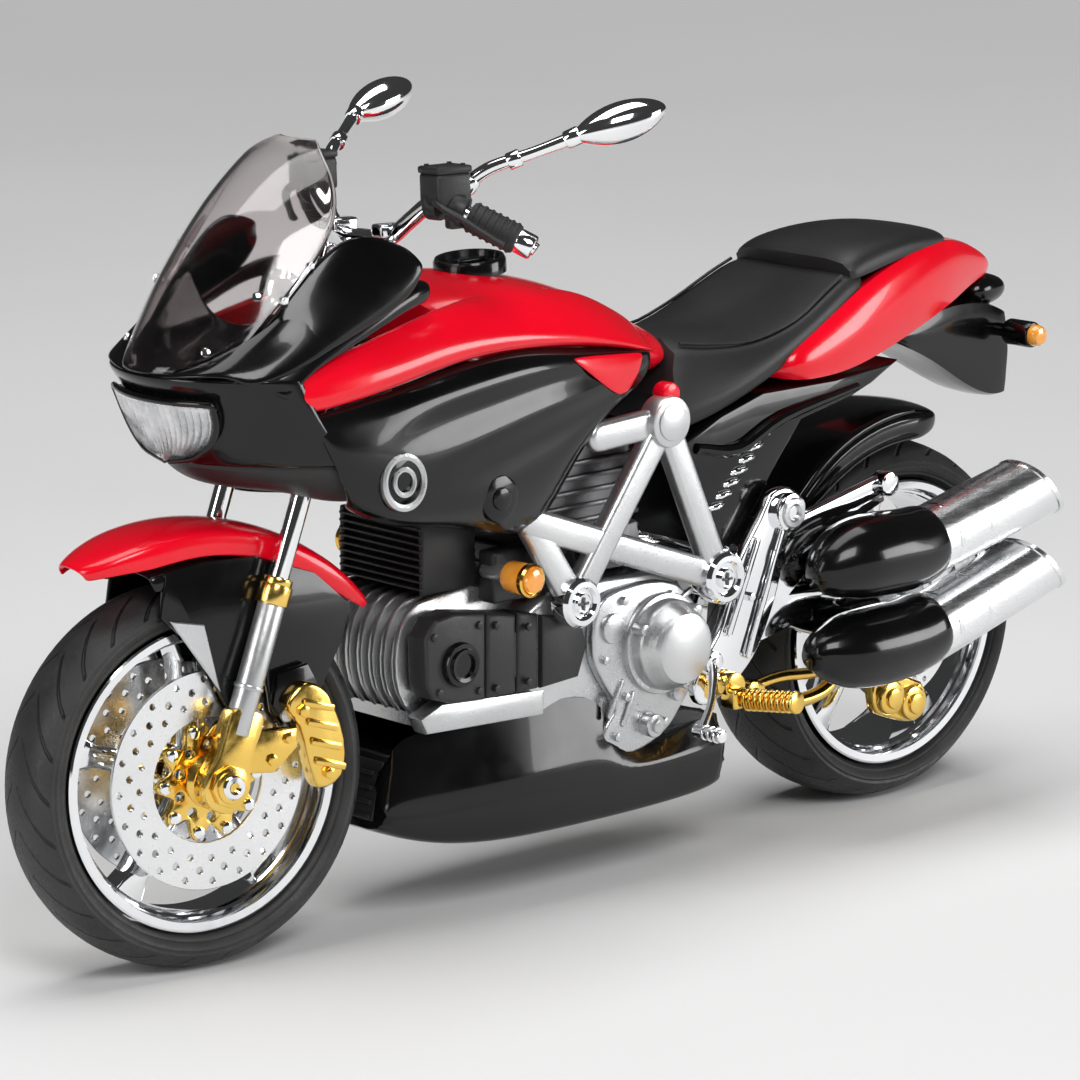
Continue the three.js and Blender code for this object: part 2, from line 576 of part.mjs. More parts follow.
// ---- the whole bike ----
const bike = new THREE.Group();
bike.position.set(bodyShift[0], bodyShift[1], 0);
bike.add(
  piece('frame_left', frameSide(1), satin()),
  piece('frame_right', frameSide(-1), satin()),
  piece('steering_head', steeringHead(), satin()),
  piece('engine_block', engineBlock(), satin()),
  piece('alternator_cover', alternatorCover(), satin()),
  piece('timing_cover', timingCover(), mattBlack()),
  piece('front_cylinder', frontCylinder(), satin()),
  piece('rear_cylinder', rearCylinder(), mattBlack()),
  piece('oil_cooler', oilCooler(), mattBlack()),
  piece('belly_pan', bellyPan(), glossBlack()),
  piece('fuel_tank', fuelTank(), red()),
  piece('filler_cap', fillerCap(), mattBlack()),
  piece('side_pod_left', sidePod(1), glossBlack()),
  piece('side_pod_right', sidePod(-1), glossBlack()),
  piece('nose_fairing', noseFairing(), glossBlack()),
  piece('headlight_lens', headlightLens(), clear()),
  piece('windscreen', windscreen(), smoke()),
  piece('seat', seatSolid(), mattBlack()),
  piece('tail_cowl', tailCowl(), red()),
  piece('tail_light', tailLight(), glossBlack()),
  piece('plate_holder', plateHolder(), mattBlack()),
  piece('inner_fender', innerFender(), mattBlack()),
  piece('muffler_upper', mufflerUpper(), chrome()),
  piece('muffler_lower', mufflerLower(), chrome()),
  piece('peg_hanger_left', pegHanger(1), chrome()),
  piece('peg_hanger_right', join(pegHanger(-1), brakePedal()), chrome()),
  piece('foot_peg_left', footPeg(1), gold()),
  piece('foot_peg_right', footPeg(-1), gold()),
  piece('shift_lever', shiftLever(), chrome()),
  piece('front_indicator_left', frontIndicator(1), amber()),
  piece('front_indicator_right', frontIndicator(-1), amber()),
  piece('side_stand', sideStand(), gold()),
  piece('swingarm', swingarm(), chrome()),
  piece('rear_axle', cross(axleRadius, rear.x, rear.z, -12.4, 12.4, 16), satin()),
  piece('hugger', hugger(), glossBlack()),
  piece('rear_caliper', rearCaliper(), gold()),
  rearWheel(),
  steeringGroup(),
);

export default bike;
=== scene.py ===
import json
import math

import bmesh
import bpy
from mathutils import Matrix, Vector


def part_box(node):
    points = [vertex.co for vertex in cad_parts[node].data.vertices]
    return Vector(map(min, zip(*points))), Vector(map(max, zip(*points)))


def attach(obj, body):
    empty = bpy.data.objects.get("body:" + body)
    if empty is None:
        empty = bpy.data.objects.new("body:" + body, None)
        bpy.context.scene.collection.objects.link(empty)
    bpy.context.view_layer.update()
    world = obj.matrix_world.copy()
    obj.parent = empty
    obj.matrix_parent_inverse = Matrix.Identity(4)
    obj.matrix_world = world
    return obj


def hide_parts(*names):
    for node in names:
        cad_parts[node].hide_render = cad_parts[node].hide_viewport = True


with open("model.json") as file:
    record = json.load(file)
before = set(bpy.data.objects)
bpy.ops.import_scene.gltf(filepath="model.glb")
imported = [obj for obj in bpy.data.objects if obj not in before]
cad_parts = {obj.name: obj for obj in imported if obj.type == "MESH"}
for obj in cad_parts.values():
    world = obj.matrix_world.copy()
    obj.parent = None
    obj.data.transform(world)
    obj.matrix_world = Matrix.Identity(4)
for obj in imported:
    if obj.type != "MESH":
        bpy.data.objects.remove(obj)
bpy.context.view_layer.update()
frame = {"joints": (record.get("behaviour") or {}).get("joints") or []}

# Pieces are drawn in millimetres about the bike's own centre plane
bike = {"rearX": -57.1, "frontX": 57.1, "frontZ": 22.9, "rearZ": 23.95, "turn": -8.0, "legY": 8.2}
rearLow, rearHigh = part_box("rear_tyre")
shift = (rearLow + rearHigh) / 2 - Vector((bike["rearX"], 0, bike["rearZ"])) / 1000
steerJoint = next(j for j in frame["joints"] if j["name"] == "steering_turn")
steerPoint = (Vector(steerJoint["pos_m"]) - shift) * 1000
steerAxis = Vector(steerJoint["axis"])
rake = math.atan2(-steerAxis.x, steerAxis.z)
steered = (Matrix.Translation(steerPoint)
           @ Matrix.Rotation(math.radians(bike["turn"]), 4, steerAxis)
           @ Matrix.Translation(-steerPoint))
leant = (Matrix.Translation((bike["frontX"], 0, bike["frontZ"]))
         @ Matrix.Rotation(-rake, 4, "Y"))
toWorld = Matrix.Translation(shift) @ Matrix.Scale(0.001, 4)
places = {
    "bike": toWorld,
    "steer": toWorld @ steered,               # drawn with the bars straight, then turned with them
    "fork": toWorld @ steered @ leant,        # upright fork with the axle at its origin
    "front": toWorld @ steered @ Matrix.Translation((bike["frontX"], 0, bike["frontZ"])),
    "rear": toWorld @ Matrix.Translation((bike["rearX"], 0, bike["rearZ"])),
}


# Materials
def link(tree, a, b):
    tree.links.new(a, b)


def mathNode(tree, operation, a, b=None):
    node = tree.nodes.new("ShaderNodeMath")
    node.operation = operation
    for slot, value in ((0, a), (1, b)):
        if value is None:
            continue
        if isinstance(value, (int, float)):
            node.inputs[slot].default_value = value
        else:
            link(tree, value, node.inputs[slot])
    return node.outputs[0]


def noiseNode(tree, vector, scale, detail=3.0, stretch=None):
    node = tree.nodes.new("ShaderNodeTexNoise")
    node.inputs["Scale"].default_value = scale
    node.inputs["Detail"].default_value = detail
    if stretch:
        mapping = tree.nodes.new("ShaderNodeMapping")
        mapping.inputs["Scale"].default_value = stretch
        link(tree, vector, mapping.inputs["Vector"])
        vector = mapping.outputs[0]
    link(tree, vector, node.inputs["Vector"])
    return node.outputs["Fac"]


def rangeNode(tree, value, fromLow, fromHigh, low, high):
    node = tree.nodes.new("ShaderNodeMapRange")
    for name, number in (("From Min", fromLow), ("From Max", fromHigh), ("To Min", low), ("To Max", high)):
        node.inputs[name].default_value = number
    link(tree, value, node.inputs["Value"])
    return node.outputs[0]


def mixColours(tree, factor, a, b):
    node = tree.nodes.new("ShaderNodeMix")
    node.data_type = "RGBA"
    link(tree, factor, node.inputs[0])
    for slot, value in ((6, a), (7, b)):
        if isinstance(value, tuple):
            node.inputs[slot].default_value = (*value, 1)
        else:
            link(tree, value, node.inputs[slot])
    return node.outputs[2]


def finishOf(name, dark, light, rough, metal=0.0, coat=0.0, grain=900.0, spread=0.05, depth=0.01,
             stretch=None, clear=0.0, ior=1.45, patch=70.0):
    material = bpy.data.materials.new(name)
    material.use_nodes = True
    tree = material.node_tree
    shader = tree.nodes["Principled BSDF"]
    where = tree.nodes.new("ShaderNodeTexCoord").outputs["Object"]
    fine = noiseNode(tree, where, grain, 4.0, stretch)
    broad = noiseNode(tree, where, patch, 2.0)
    link(tree, mixColours(tree, rangeNode(tree, broad, 0.3, 0.7, 0.0, 1.0), dark, light),
         shader.inputs["Base Color"])
    both = mathNode(tree, "ADD", mathNode(tree, "MULTIPLY", fine, 0.6),
                    mathNode(tree, "MULTIPLY", broad, 0.4))
    link(tree, rangeNode(tree, both, 0.3, 0.7, max(0.01, rough - spread), rough + spread),
         shader.inputs["Roughness"])
    shader.inputs["Metallic"].default_value = metal
    shader.inputs["Coat Weight"].default_value = coat
    shader.inputs["Coat Roughness"].default_value = 0.03
    shader.inputs["IOR"].default_value = ior
    shader.inputs["Transmission Weight"].default_value = clear
    relief = tree.nodes.new("ShaderNodeBump")
    relief.inputs["Strength"].default_value = 1.0
    relief.inputs["Distance"].default_value = depth / 1000
    link(tree, fine, relief.inputs["Height"])
    link(tree, relief.outputs[0], shader.inputs["Normal"])
    return material


looks = {
    "red_paint": finishOf("red_paint", (0.74, 0.001, 0.012), (0.83, 0.0015, 0.017), 0.2, coat=0.35,
                          grain=500, spread=0.04, depth=0.0015, ior=1.38),
    "gloss_black": finishOf("gloss_black", (0.002, 0.002, 0.0022), (0.005, 0.005, 0.0053), 0.17, coat=0.25,
                            grain=420, spread=0.05, depth=0.0015, ior=1.34),
    "matt_black": finishOf("matt_black", (0.013, 0.013, 0.0135), (0.024, 0.024, 0.025), 0.45,
                           grain=2600, spread=0.1, depth=0.02),
    "seat_cover": finishOf("seat_cover", (0.012, 0.012, 0.0125), (0.02, 0.02, 0.021), 0.46,
                           grain=3800, spread=0.07, depth=0.02),
    "grip_rubber": finishOf("grip_rubber", (0.012, 0.012, 0.012), (0.022, 0.022, 0.022), 0.62,
                            grain=3000, spread=0.1, depth=0.03),
    "chrome": finishOf("chrome", (0.83, 0.84, 0.86), (0.93, 0.94, 0.95), 0.07, metal=1.0,
                       grain=700, spread=0.035, depth=0.0012),
    "satin_metal": finishOf("satin_metal", (0.50, 0.51, 0.52), (0.63, 0.635, 0.64), 0.31, metal=0.9,
                            grain=3400, spread=0.07, depth=0.018),
    "brushed": finishOf("brushed", (0.80, 0.81, 0.82), (0.92, 0.93, 0.94), 0.26, metal=1.0,
                        grain=2600, spread=0.07, depth=0.006, stretch=(0.12, 1.0, 1.0)),
    "disc_steel": finishOf("disc_steel", (0.78, 0.79, 0.8), (0.9, 0.905, 0.91), 0.22, metal=1.0,
                           grain=2600, spread=0.08, depth=0.005),
    "gold_plate": finishOf("gold_plate", (0.83, 0.52, 0.10), (0.93, 0.64, 0.17), 0.18, metal=1.0,
                           grain=1500, spread=0.07, depth=0.006),
    "dark_steel": finishOf("dark_steel", (0.10, 0.10, 0.105), (0.18, 0.18, 0.185), 0.4, metal=0.8,
                           grain=2400, spread=0.1, depth=0.02),
}


# Shaping
def ringOf(bm, points):
    verts = [bm.verts.new(p) for p in points]
    edges = [bm.edges.new((verts[i], verts[(i + 1) % len(verts)])) for i in range(len(verts))]
    return verts, edges


def extrudeRing(bm, verts, edges, points):
    made = bmesh.ops.extrude_edge_only(bm, edges=edges)["geom"]
    fresh = {v for v in made if isinstance(v, bmesh.types.BMVert)}
    nextVerts = []
    for vert in verts:
        nextVerts.append(next(e.other_vert(vert) for e in vert.link_edges if e.other_vert(vert) in fresh))
    for vert, point in zip(nextVerts, points):
        vert.co = point
    nextEdges = [e for e in made if isinstance(e, bmesh.types.BMEdge)
                 and e.verts[0] in fresh and e.verts[1] in fresh]
    return nextVerts, nextEdges


def loft(rings, caps=True, creased=(), creasedRings=()):
    bm = bmesh.new()
    crease = bm.edges.layers.float.new("crease_edge")
    verts, edges = ringOf(bm, rings[0])
    first = list(edges)
    columns = [[v] for v in verts]
    rows = [list(edges)]
    for points in rings[1:]:
        verts, edges = extrudeRing(bm, verts, edges, points)
        rows.append(edges)
        for column, vert in zip(columns, verts):
            column.append(vert)
    if caps:
        bmesh.ops.contextual_create(bm, geom=first)
        bmesh.ops.contextual_create(bm, geom=edges)
    for index, value in creased:
        column = columns[index]
        for a, b in zip(column, column[1:]):
            bm.edges.get((a, b))[crease] = value
    for index, value in creasedRings:
        for edge in rows[index]:
            edge[crease] = value
    bmesh.ops.recalc_face_normals(bm, faces=bm.faces)
    return bm


def spline(points, steps):
    points = [Vector(p) for p in points]
    ends = [2 * points[0] - points[1]] + points + [2 * points[-1] - points[-2]]
    out = []
    for i in range(1, len(ends) - 2):
        a, b, c, d = ends[i - 1:i + 3]
        for k in range(steps):
            t = k / steps
            out.append(0.5 * ((2 * b) + (c - a) * t + (2 * a - 5 * b + 4 * c - d) * t * t
                              + (3 * b - a - 3 * c + d) * t ** 3))
    out.append(points[-1])
    return out


def tube(path, radius, sides=16, steps=6, flat=1.0, caps=True):
    radii = radius if isinstance(radius, (list, tuple)) else [radius] * len(path)
    line = spline([(*p, ) for p in path], steps) if steps > 1 else [Vector(p) for p in path]
    sizes = [s.x for s in spline([(r, 0, 0) for r in radii], steps)] if steps > 1 else list(radii)
    rings = []
    along = (line[1] - line[0]).normalized()
    side = along.orthogonal().normalized()
    for i, point in enumerate(line):
        ahead = (line[min(i + 1, len(line) - 1)] - line[max(i - 1, 0)]).normalized()
        side = (side - ahead * side.dot(ahead)).normalized()
        up = ahead.cross(side)
        rings.append([point + (side * math.cos(a) + up * math.sin(a) * flat) * sizes[i]
                      for a in (2 * math.pi * k / sides for k in range(sides))])
    return loft(rings, caps)


def rod(radius, a, b, sides=24, bevel=0.0, end=None):
    a, b = Vector(a), Vector(b)
    bm = bmesh.new()
    turn = (b - a).to_track_quat("Z", "Y").to_matrix().to_4x4()
    bmesh.ops.create_cone(bm, cap_ends=True, segments=sides, radius1=radius,
                          radius2=radius if end is None else end, depth=(b - a).length,
                          matrix=Matrix.Translation((a + b) / 2) @ turn)
    if bevel:
        rims = [e for e in bm.edges if any(len(f.verts) > 4 for f in e.link_faces)]
        bmesh.ops.bevel(bm, geom=rims, offset=bevel, segments=2, profile=0.5, affect="EDGES", material=-1)
    return bm


def across(radius, x, z, y0, y1, sides=28, bevel=0.0, end=None):
    return rod(radius, (x, y0, z), (x, y1, z), sides, bevel, end)


def spun(profile, segments=64, axis=(0, 1, 0)):
    bm = bmesh.new()
    verts = [bm.verts.new((r, y, 0)) for r, y in profile]
    edges = [bm.edges.new(pair) for pair in zip(verts, verts[1:])]
    if (Vector((*profile[0], 0)) - Vector((*profile[-1], 0))).length > 1e-6 and profile[0][0] > 1e-6:
        edges.append(bm.edges.new((verts[-1], verts[0])))
    bmesh.ops.spin(bm, geom=verts + edges, axis=axis, cent=(0, 0, 0), angle=2 * math.pi, steps=segments,
                   use_merge=True)
    bmesh.ops.remove_doubles(bm, verts=bm.verts, dist=1e-5)
    bmesh.ops.recalc_face_normals(bm, faces=bm.faces)
    return bm


def slab(points, y0, y1, bevel=0.3, segments=2, holes=()):
    bm = bmesh.new()
    _, edges = ringOf(bm, [(x, y0, z) for x, z in points])
    if holes:
        for hole in holes:
            edges = edges + ringOf(bm, [(x, y0, z) for x, z in hole])[1]
        bmesh.ops.triangle_fill(bm, use_beauty=True, use_dissolve=False, edges=edges)
        bmesh.ops.dissolve_limit(bm, angle_limit=0.01, verts=bm.verts, edges=bm.edges)
    else:
        bmesh.ops.contextual_create(bm, geom=edges)
    made = bmesh.ops.extrude_face_region(bm, geom=bm.faces[:], use_keep_orig=True)["geom"]
    bmesh.ops.translate(bm, vec=(0, y1 - y0, 0),
                        verts=[v for v in made if isinstance(v, bmesh.types.BMVert)])
    bmesh.ops.recalc_face_normals(bm, faces=bm.faces)
    if bevel:
        rims = [e for e in bm.edges if len(e.link_faces) == 2 and e.calc_face_angle(0) > 1.2
                and abs(e.verts[0].co.y - e.verts[1].co.y) < 1e-6]
        bmesh.ops.bevel(bm, geom=rims, offset=bevel, segments=segments, profile=0.5, affect="EDGES",
                        material=-1, clamp_overlap=True)
    return bm


def smoothLoop(points, steps=4):
    flat = [Vector((x, z, 0)) for x, z in points]
    count = len(flat)
    out = []
    for i in range(count):
        a, b, c, d = (flat[(i + k) % count] for k in (-1, 0, 1, 2))
        for k in range(steps):
            t = k / steps
            p = 0.5 * ((2 * b) + (c - a) * t + (2 * a - 5 * b + 4 * c - d) * t * t
                       + (3 * b - a - 3 * c + d) * t ** 3)
            out.append((p.x, p.y))
    return out


def capsule(a, b, half, steps=7):
    angle = math.atan2(b[1] - a[1], b[0] - a[0])
    out = []
    for (x, z), start in ((a, angle + math.pi / 2), (b, angle - math.pi / 2)):
        for k in range(steps + 1):
            t = start + math.pi * k / steps
            out.append((x + half * math.cos(t), z + half * math.sin(t)))
    return out


def circle(x, z, radius, sides=20):
    return [(x + radius * math.cos(2 * math.pi * k / sides), z + radius * math.sin(2 * math.pi * k / sides))
            for k in range(sides)]


def block(size, centre, bevel=0.3, segments=3, turn=None):
    bm = bmesh.new()
    matrix = Matrix.Translation(centre) @ (turn or Matrix.Identity(4))
    bmesh.ops.create_cube(bm, size=1, matrix=matrix @ Matrix.Diagonal((*size, 1)))
    if bevel:
        bmesh.ops.bevel(bm, geom=bm.edges[:], offset=bevel, segments=segments, profile=0.5,
                        affect="EDGES", material=-1)
    return bm


def merged(*shapes):
    whole = bmesh.new()
    for shape in shapes:
        mesh = bpy.data.meshes.new("part")
        shape.to_mesh(mesh)
        shape.free()
        whole.from_mesh(mesh)
        bpy.data.meshes.remove(mesh)
    return whole


def flipped(shape):
    copy = shape.copy()
    bmesh.ops.scale(copy, vec=(1, -1, 1), verts=copy.verts)
    bmesh.ops.reverse_faces(copy, faces=copy.faces)
    return copy


def bothSides(points):
    return list(points) + [(x, -y, z) for x, y, z in reversed(points) if abs(y) > 1e-6]


def place(name, shape, body, look, nodes=(), where="bike", angle=38, rounds=0, wall=0.0,
          local=None):
    if rounds and wall:
        bmesh.ops.recalc_face_normals(shape, faces=shape.faces)
    mesh = bpy.data.meshes.new(name)
    if local:
        layer = shape.verts.layers.float_vector.new(local)
        for vert in shape.verts:
            vert[layer] = vert.co
    shape.transform(places[where])
    shape.to_mesh(mesh)
    shape.free()
    mesh.polygons.foreach_set("use_smooth", [True] * len(mesh.polygons))
    mesh.set_sharp_from_angle(angle=math.radians(angle))
    mesh.materials.append(looks[look])
    piece = bpy.data.objects.new(name, mesh)
    bpy.context.scene.collection.objects.link(piece)
    if wall:
        thick = piece.modifiers.new("wall", "SOLIDIFY")
        thick.thickness = wall / 1000
        thick.offset = -1.0
    if rounds:
        soft = piece.modifiers.new("round", "SUBSURF")
        soft.levels = soft.render_levels = rounds
    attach(piece, body)
    if nodes:
        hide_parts(*([nodes] if isinstance(nodes, str) else nodes))
    return piece


def placeBoth(name, shape, body, look, node="", where="bike", angle=30, rounds=0, wall=0.0):
    # the left piece as drawn, and its mirror image on the right
    for side, half in (("_right", flipped(shape)), ("_left", shape)):
        place(name + side, half, body, look, node and node + side, where, angle, rounds, wall)


def sheet(rows):
    bm = bmesh.new()
    verts = [bm.verts.new(p) for p in rows[0]]
    edges = [bm.edges.new(pair) for pair in zip(verts, verts[1:])]
    for points in rows[1:]:
        verts, edges = extrudeRing(bm, verts, edges, points)
    bmesh.ops.recalc_face_normals(bm, faces=bm.faces)
    return bm


def facing(bm, direction):
    # an open sheet whose normals look along the direction
    if sum((f.normal * f.calc_area() for f in bm.faces), Vector()).dot(Vector(direction)) < 0:
        bmesh.ops.reverse_faces(bm, faces=bm.faces)
    return bm


def atPoint(shape, x, z):
    shape.transform(Matrix.Translation((x, 0, z)))
    return shape


def compass(count, start=0.0):
    return [2 * math.pi * (k + start) / count for k in range(count)]


# Wheels
def treadLook(name, wheel):
    material = bpy.data.materials.new(name)
    material.use_nodes = True
    tree = material.node_tree
    shader = tree.nodes["Principled BSDF"]
    spot = tree.nodes.new("ShaderNodeAttribute")
    spot.attribute_name = "wheel"
    parts = tree.nodes.new("ShaderNodeSeparateXYZ")
    link(tree, spot.outputs["Vector"], parts.inputs[0])
    turn = mathNode(tree, "ARCTAN2", parts.outputs["Z"], parts.outputs["X"])
    out = mathNode(tree, "ABSOLUTE", parts.outputs["Y"])
    reach = mathNode(tree, "SQRT", mathNode(tree, "ADD",
                     mathNode(tree, "MULTIPLY", parts.outputs["X"], parts.outputs["X"]),
                     mathNode(tree, "MULTIPLY", parts.outputs["Z"], parts.outputs["Z"])))
    phase = mathNode(tree, "ADD", mathNode(tree, "MULTIPLY", turn, wheel["grooves"] / (2 * math.pi)),
                     mathNode(tree, "MULTIPLY", out, wheel["lean"]))
    saw = mathNode(tree, "FRACT", phase)
    near = mathNode(tree, "ABSOLUTE", mathNode(tree, "SUBTRACT", saw, 0.5))
    groove = rangeNode(tree, near, 0.03, 0.075, 1.0, 0.0)
    onTread = mathNode(tree, "MULTIPLY", rangeNode(tree, reach, wheel["treadFrom"],
                                                   wheel["treadFrom"] + 0.25,
                                                   0.0, 1.0),
                       rangeNode(tree, out, 0.35, 0.6, 0.0, 1.0))
    groove_and_painted_shade = mathNode(tree, "MULTIPLY", groove, onTread)
    where = tree.nodes.new("ShaderNodeTexCoord").outputs["Object"]
    grain = noiseNode(tree, where, 2600, 4.0)
    scuff = noiseNode(tree, where, 160, 3.0)
    base = mixColours(tree, rangeNode(tree, scuff, 0.35, 0.7, 0.0, 1.0), (0.014, 0.014, 0.0145),
                      (0.030, 0.030, 0.0305))
    # the grooves are painted near black: painted shade in the grooves, on top of the bump that cuts them
    link(tree, mixColours(tree, groove_and_painted_shade, base, (0.001, 0.001, 0.001)), shader.inputs["Base Color"])
    link(tree, rangeNode(tree, grain, 0.3, 0.7, 0.44, 0.66), shader.inputs["Roughness"])
    height = mathNode(tree, "SUBTRACT", mathNode(tree, "MULTIPLY", grain, 0.05), groove_and_painted_shade)
    relief = tree.nodes.new("ShaderNodeBump")
    relief.inputs["Distance"].default_value = 0.0007
    link(tree, height, relief.inputs["Height"])
    link(tree, relief.outputs[0], shader.inputs["Normal"])
    return material


frontWheel = {"tyre": 22.9, "half": 5.15, "lip": 18.2, "rim": 4.3, "grooves": 26, "lean": 0.3,
              "treadFrom": 21.0}
rearWheel = {"tyre": 23.95, "half": 7.2, "lip": 18.9, "rim": 6.4, "grooves": 24, "lean": 0.24,
             "treadFrom": 22.2}


def tyreShape(w):
    r, h, lip = w["tyre"], w["half"], w["lip"] + 0.3
    side = [(lip, 0.8 * h), (lip + 0.5, 0.9 * h), (lip + 0.75, 0.9 * h), (lip + 0.85, 0.945 * h),
            (lip + 1.7, h), (lip + 1.95, 0.97 * h), (lip + 2.3, 0.985 * h), (r - 1.1, 0.80 * h),
            (r - 0.52, 0.6 * h), (r - 0.2, 0.38 * h), (r - 0.04, 0.17 * h)]
    return spun(side + [(r, 0)] + [(a, -y) for a, y in reversed(side)], 96)


def rimShape(w):
    lip, h = w["lip"], w["rim"]
    half = [(lip, h), (lip - 0.25, h + 0.12), (lip - 1.15, h + 0.02), (lip - 1.3, h - 0.3),
            (lip - 1.45, h - 0.75), (lip - 1.3, h - 0.95), (lip - 1.55, h - 1.35), (lip - 1.85, h - 1.5),
            (lip - 1.7, h - 1.75), (lip - 1.95, h - 2.1), (lip - 2.2, h - 2.25), (lip - 2.1, 0.6)]
    inner = half + [(a, -y) for a, y in reversed(half)]
    return spun(inner + [(lip - 0.1, -h + 0.6), (lip - 0.1, h - 0.6)], 96)


def spokeShape(w, depth):
    shapes = []
    reach = w["lip"] - 1.9
    for k in range(5):
        turn = Matrix.Rotation(-math.radians(90 + 72 * k), 4, "Y")
        bm = slab([(2.6, -1.5), (5, -1.25), (reach - 3, -1.35), (reach, -2.2), (reach, 2.2),
                   (reach - 3, 1.35), (5, 1.25), (2.6, 1.5)], -depth, depth, 0.45, 2)
        bm.transform(turn)
        shapes.append(bm)
    shapes.append(spun([(1.3, w["rim"] - 0.4), (3.0, w["rim"] - 0.4), (3.4, w["rim"] - 1.2), (3.9, depth),
                        (3.9, -depth), (3.4, 1.2 - w["rim"]), (3.0, 0.4 - w["rim"]),
                        (1.3, 0.4 - w["rim"])], 40))
    return merged(*shapes)


def discShape(d):
    holes = [circle(0, 0, d["inner"], 48)]
    for reach, size, start in d["holes"]:
        for a in compass(d["holeCount"], start):
            holes.append(circle(reach * math.cos(a), reach * math.sin(a), size, 10))
    return slab(circle(0, 0, d["outer"], 96), d["y0"], d["y1"], 0.06, 1, holes)


def ringOfBolts(reach, count, size, y0, y1, start=0.0, sides=16):
    return merged(*[across(size, reach * math.cos(a), reach * math.sin(a), y0, y1, sides, size * 0.22)
                    for a in compass(count, start)])


looks["front_tread"] = treadLook("front_tread", frontWheel)
looks["rear_tread"] = treadLook("rear_tread", rearWheel)
place("front_tyre_body", tyreShape(frontWheel), "front_wheel", "front_tread", "front_tyre", "front", 50,
      local="wheel")
place("rear_tyre_body", tyreShape(rearWheel), "rear_wheel", "rear_tread", "rear_tyre", "rear", 50,
      local="wheel")
place("front_rim_barrel", rimShape(frontWheel), "front_wheel", "chrome", "front_rim", "front", 22)
place("rear_rim_barrel", rimShape(rearWheel), "rear_wheel", "chrome", "rear_rim", "rear", 22)
place("front_spokes", spokeShape(frontWheel, 1.8), "front_wheel", "chrome", (), "front", 30)
place("rear_spokes", spokeShape(rearWheel, 2.3), "rear_wheel", "chrome", (), "rear", 30)

# each ring of holes has its reach, the radius of a hole and its start as a part of one step
discs = {"front": {"outer": 13.0, "inner": 7.4, "y0": 4.62, "y1": 5.16, "bolts": 10, "boltAt": 6.2,
                   "boltSize": 0.72, "holeCount": 20,
                   "holes": [(12.0, 0.38, 0.0), (10.7, 0.42, 0.5), (9.3, 0.38, 0.0)]},
         "rear": {"outer": 10.5, "inner": 6.0, "y0": 6.92, "y1": 7.46, "bolts": 6, "boltAt": 5.6,
                  "boltSize": 0.5, "carrier": 6.2, "holeCount": 18,
                  "holes": [(9.6, 0.36, 0.0), (8.4, 0.38, 0.5), (7.2, 0.34, 0.0)]}}


def carrierShape(d):
    # a plate with ten lobes, one for each bolt, and a stepped hub
    waves = [(a, 6.2 + math.cos(d["bolts"] * a)) for a in compass(80)]
    lobes = [(reach * math.cos(a), reach * math.sin(a)) for a, reach in waves]
    bm = slab(smoothLoop(lobes, 1), d["y0"] - 0.05, d["y1"] + 0.35, 0.12, 2,
              [circle(0, 0, 1.7, 24)] + [circle(4.3 * math.cos(a), 4.3 * math.sin(a), 0.62, 10)
                                         for a in compass(d["bolts"], 0.5)])
    hub = spun([(1.5, d["y1"]), (3.3, d["y1"]), (3.2, d["y1"] + 0.5), (2.6, d["y1"] + 1.1),
                (2.2, d["y1"] + 1.2), (1.5, d["y1"] + 1.2)], 40)
    return merged(bm, hub)


d = discs["front"]
placeBoth("front_disc_ring", discShape(d), "front_wheel", "disc_steel", "front_disc", "front")
placeBoth("front_carrier", carrierShape(d), "front_wheel", "gold_plate", "", "front")
placeBoth("front_disc_bolts", ringOfBolts(d["boltAt"], d["bolts"], d["boltSize"], d["y1"] + 0.2,
                                          d["y1"] + 0.85),
          "front_wheel", "chrome", "", "front", 38)
d = discs["rear"]
place("rear_disc_ring", discShape(d), "rear_wheel", "disc_steel", "rear_disc", "rear", 30)
carrierHoles = [circle(0, 0, 1.7, 24)] + [circle(4.4 * math.cos(a), 4.4 * math.sin(a), 1.0, 14)
                                          for a in compass(d["bolts"], 0.5)]
carrier = merged(slab(circle(0, 0, d["carrier"], 40), 6.7, 7.3, 0.1, 2, carrierHoles),
                 ringOfBolts(d["boltAt"], d["bolts"], d["boltSize"], 7.2, 7.9))
place("rear_carrier", carrier, "rear_wheel", "satin_metal", (), "rear")
place("front_axle_nuts", merged(*[m for s in (1, -1) for m in (
    across(0.95, 0, 0, 0.2 * s, 9.9 * s, 24),
    rod(2.55, (0, 9.7 * s, 0), (0, 10.35 * s, 0), 8, 0.15),
    rod(2.0, (0, 10.3 * s, 0), (0, 10.75 * s, 0), 32, 0.15))]),
      "fork_sliders", "gold_plate", "front_axle", "front", 30)
placeBoth("front_axle_ring", spun([(0.62, 10.4), (0.62, 11.05), (0.8, 11.2), (1.3, 11.15), (1.45, 10.95),
                                   (1.45, 10.4)], 32), "fork_sliders", "chrome", "", "front")
print("wheels done")


# Fork, in its own upright frame
# each length is its radius, its lower end and its upper end
fork = {"stanchion": (1.22, 17.5, 60.4), "leg": (1.62, 6.0, 22.0), "band": (1.78, 11.4, 11.9),
        "collar": (1.98, 21.6, 24.0), "seal": (1.75, 23.9, 24.8)}


def forkLength(key, y, bevel):
    radius, low, high = fork[key]
    return rod(radius, (0, y, low), (0, y, high), 32, bevel)


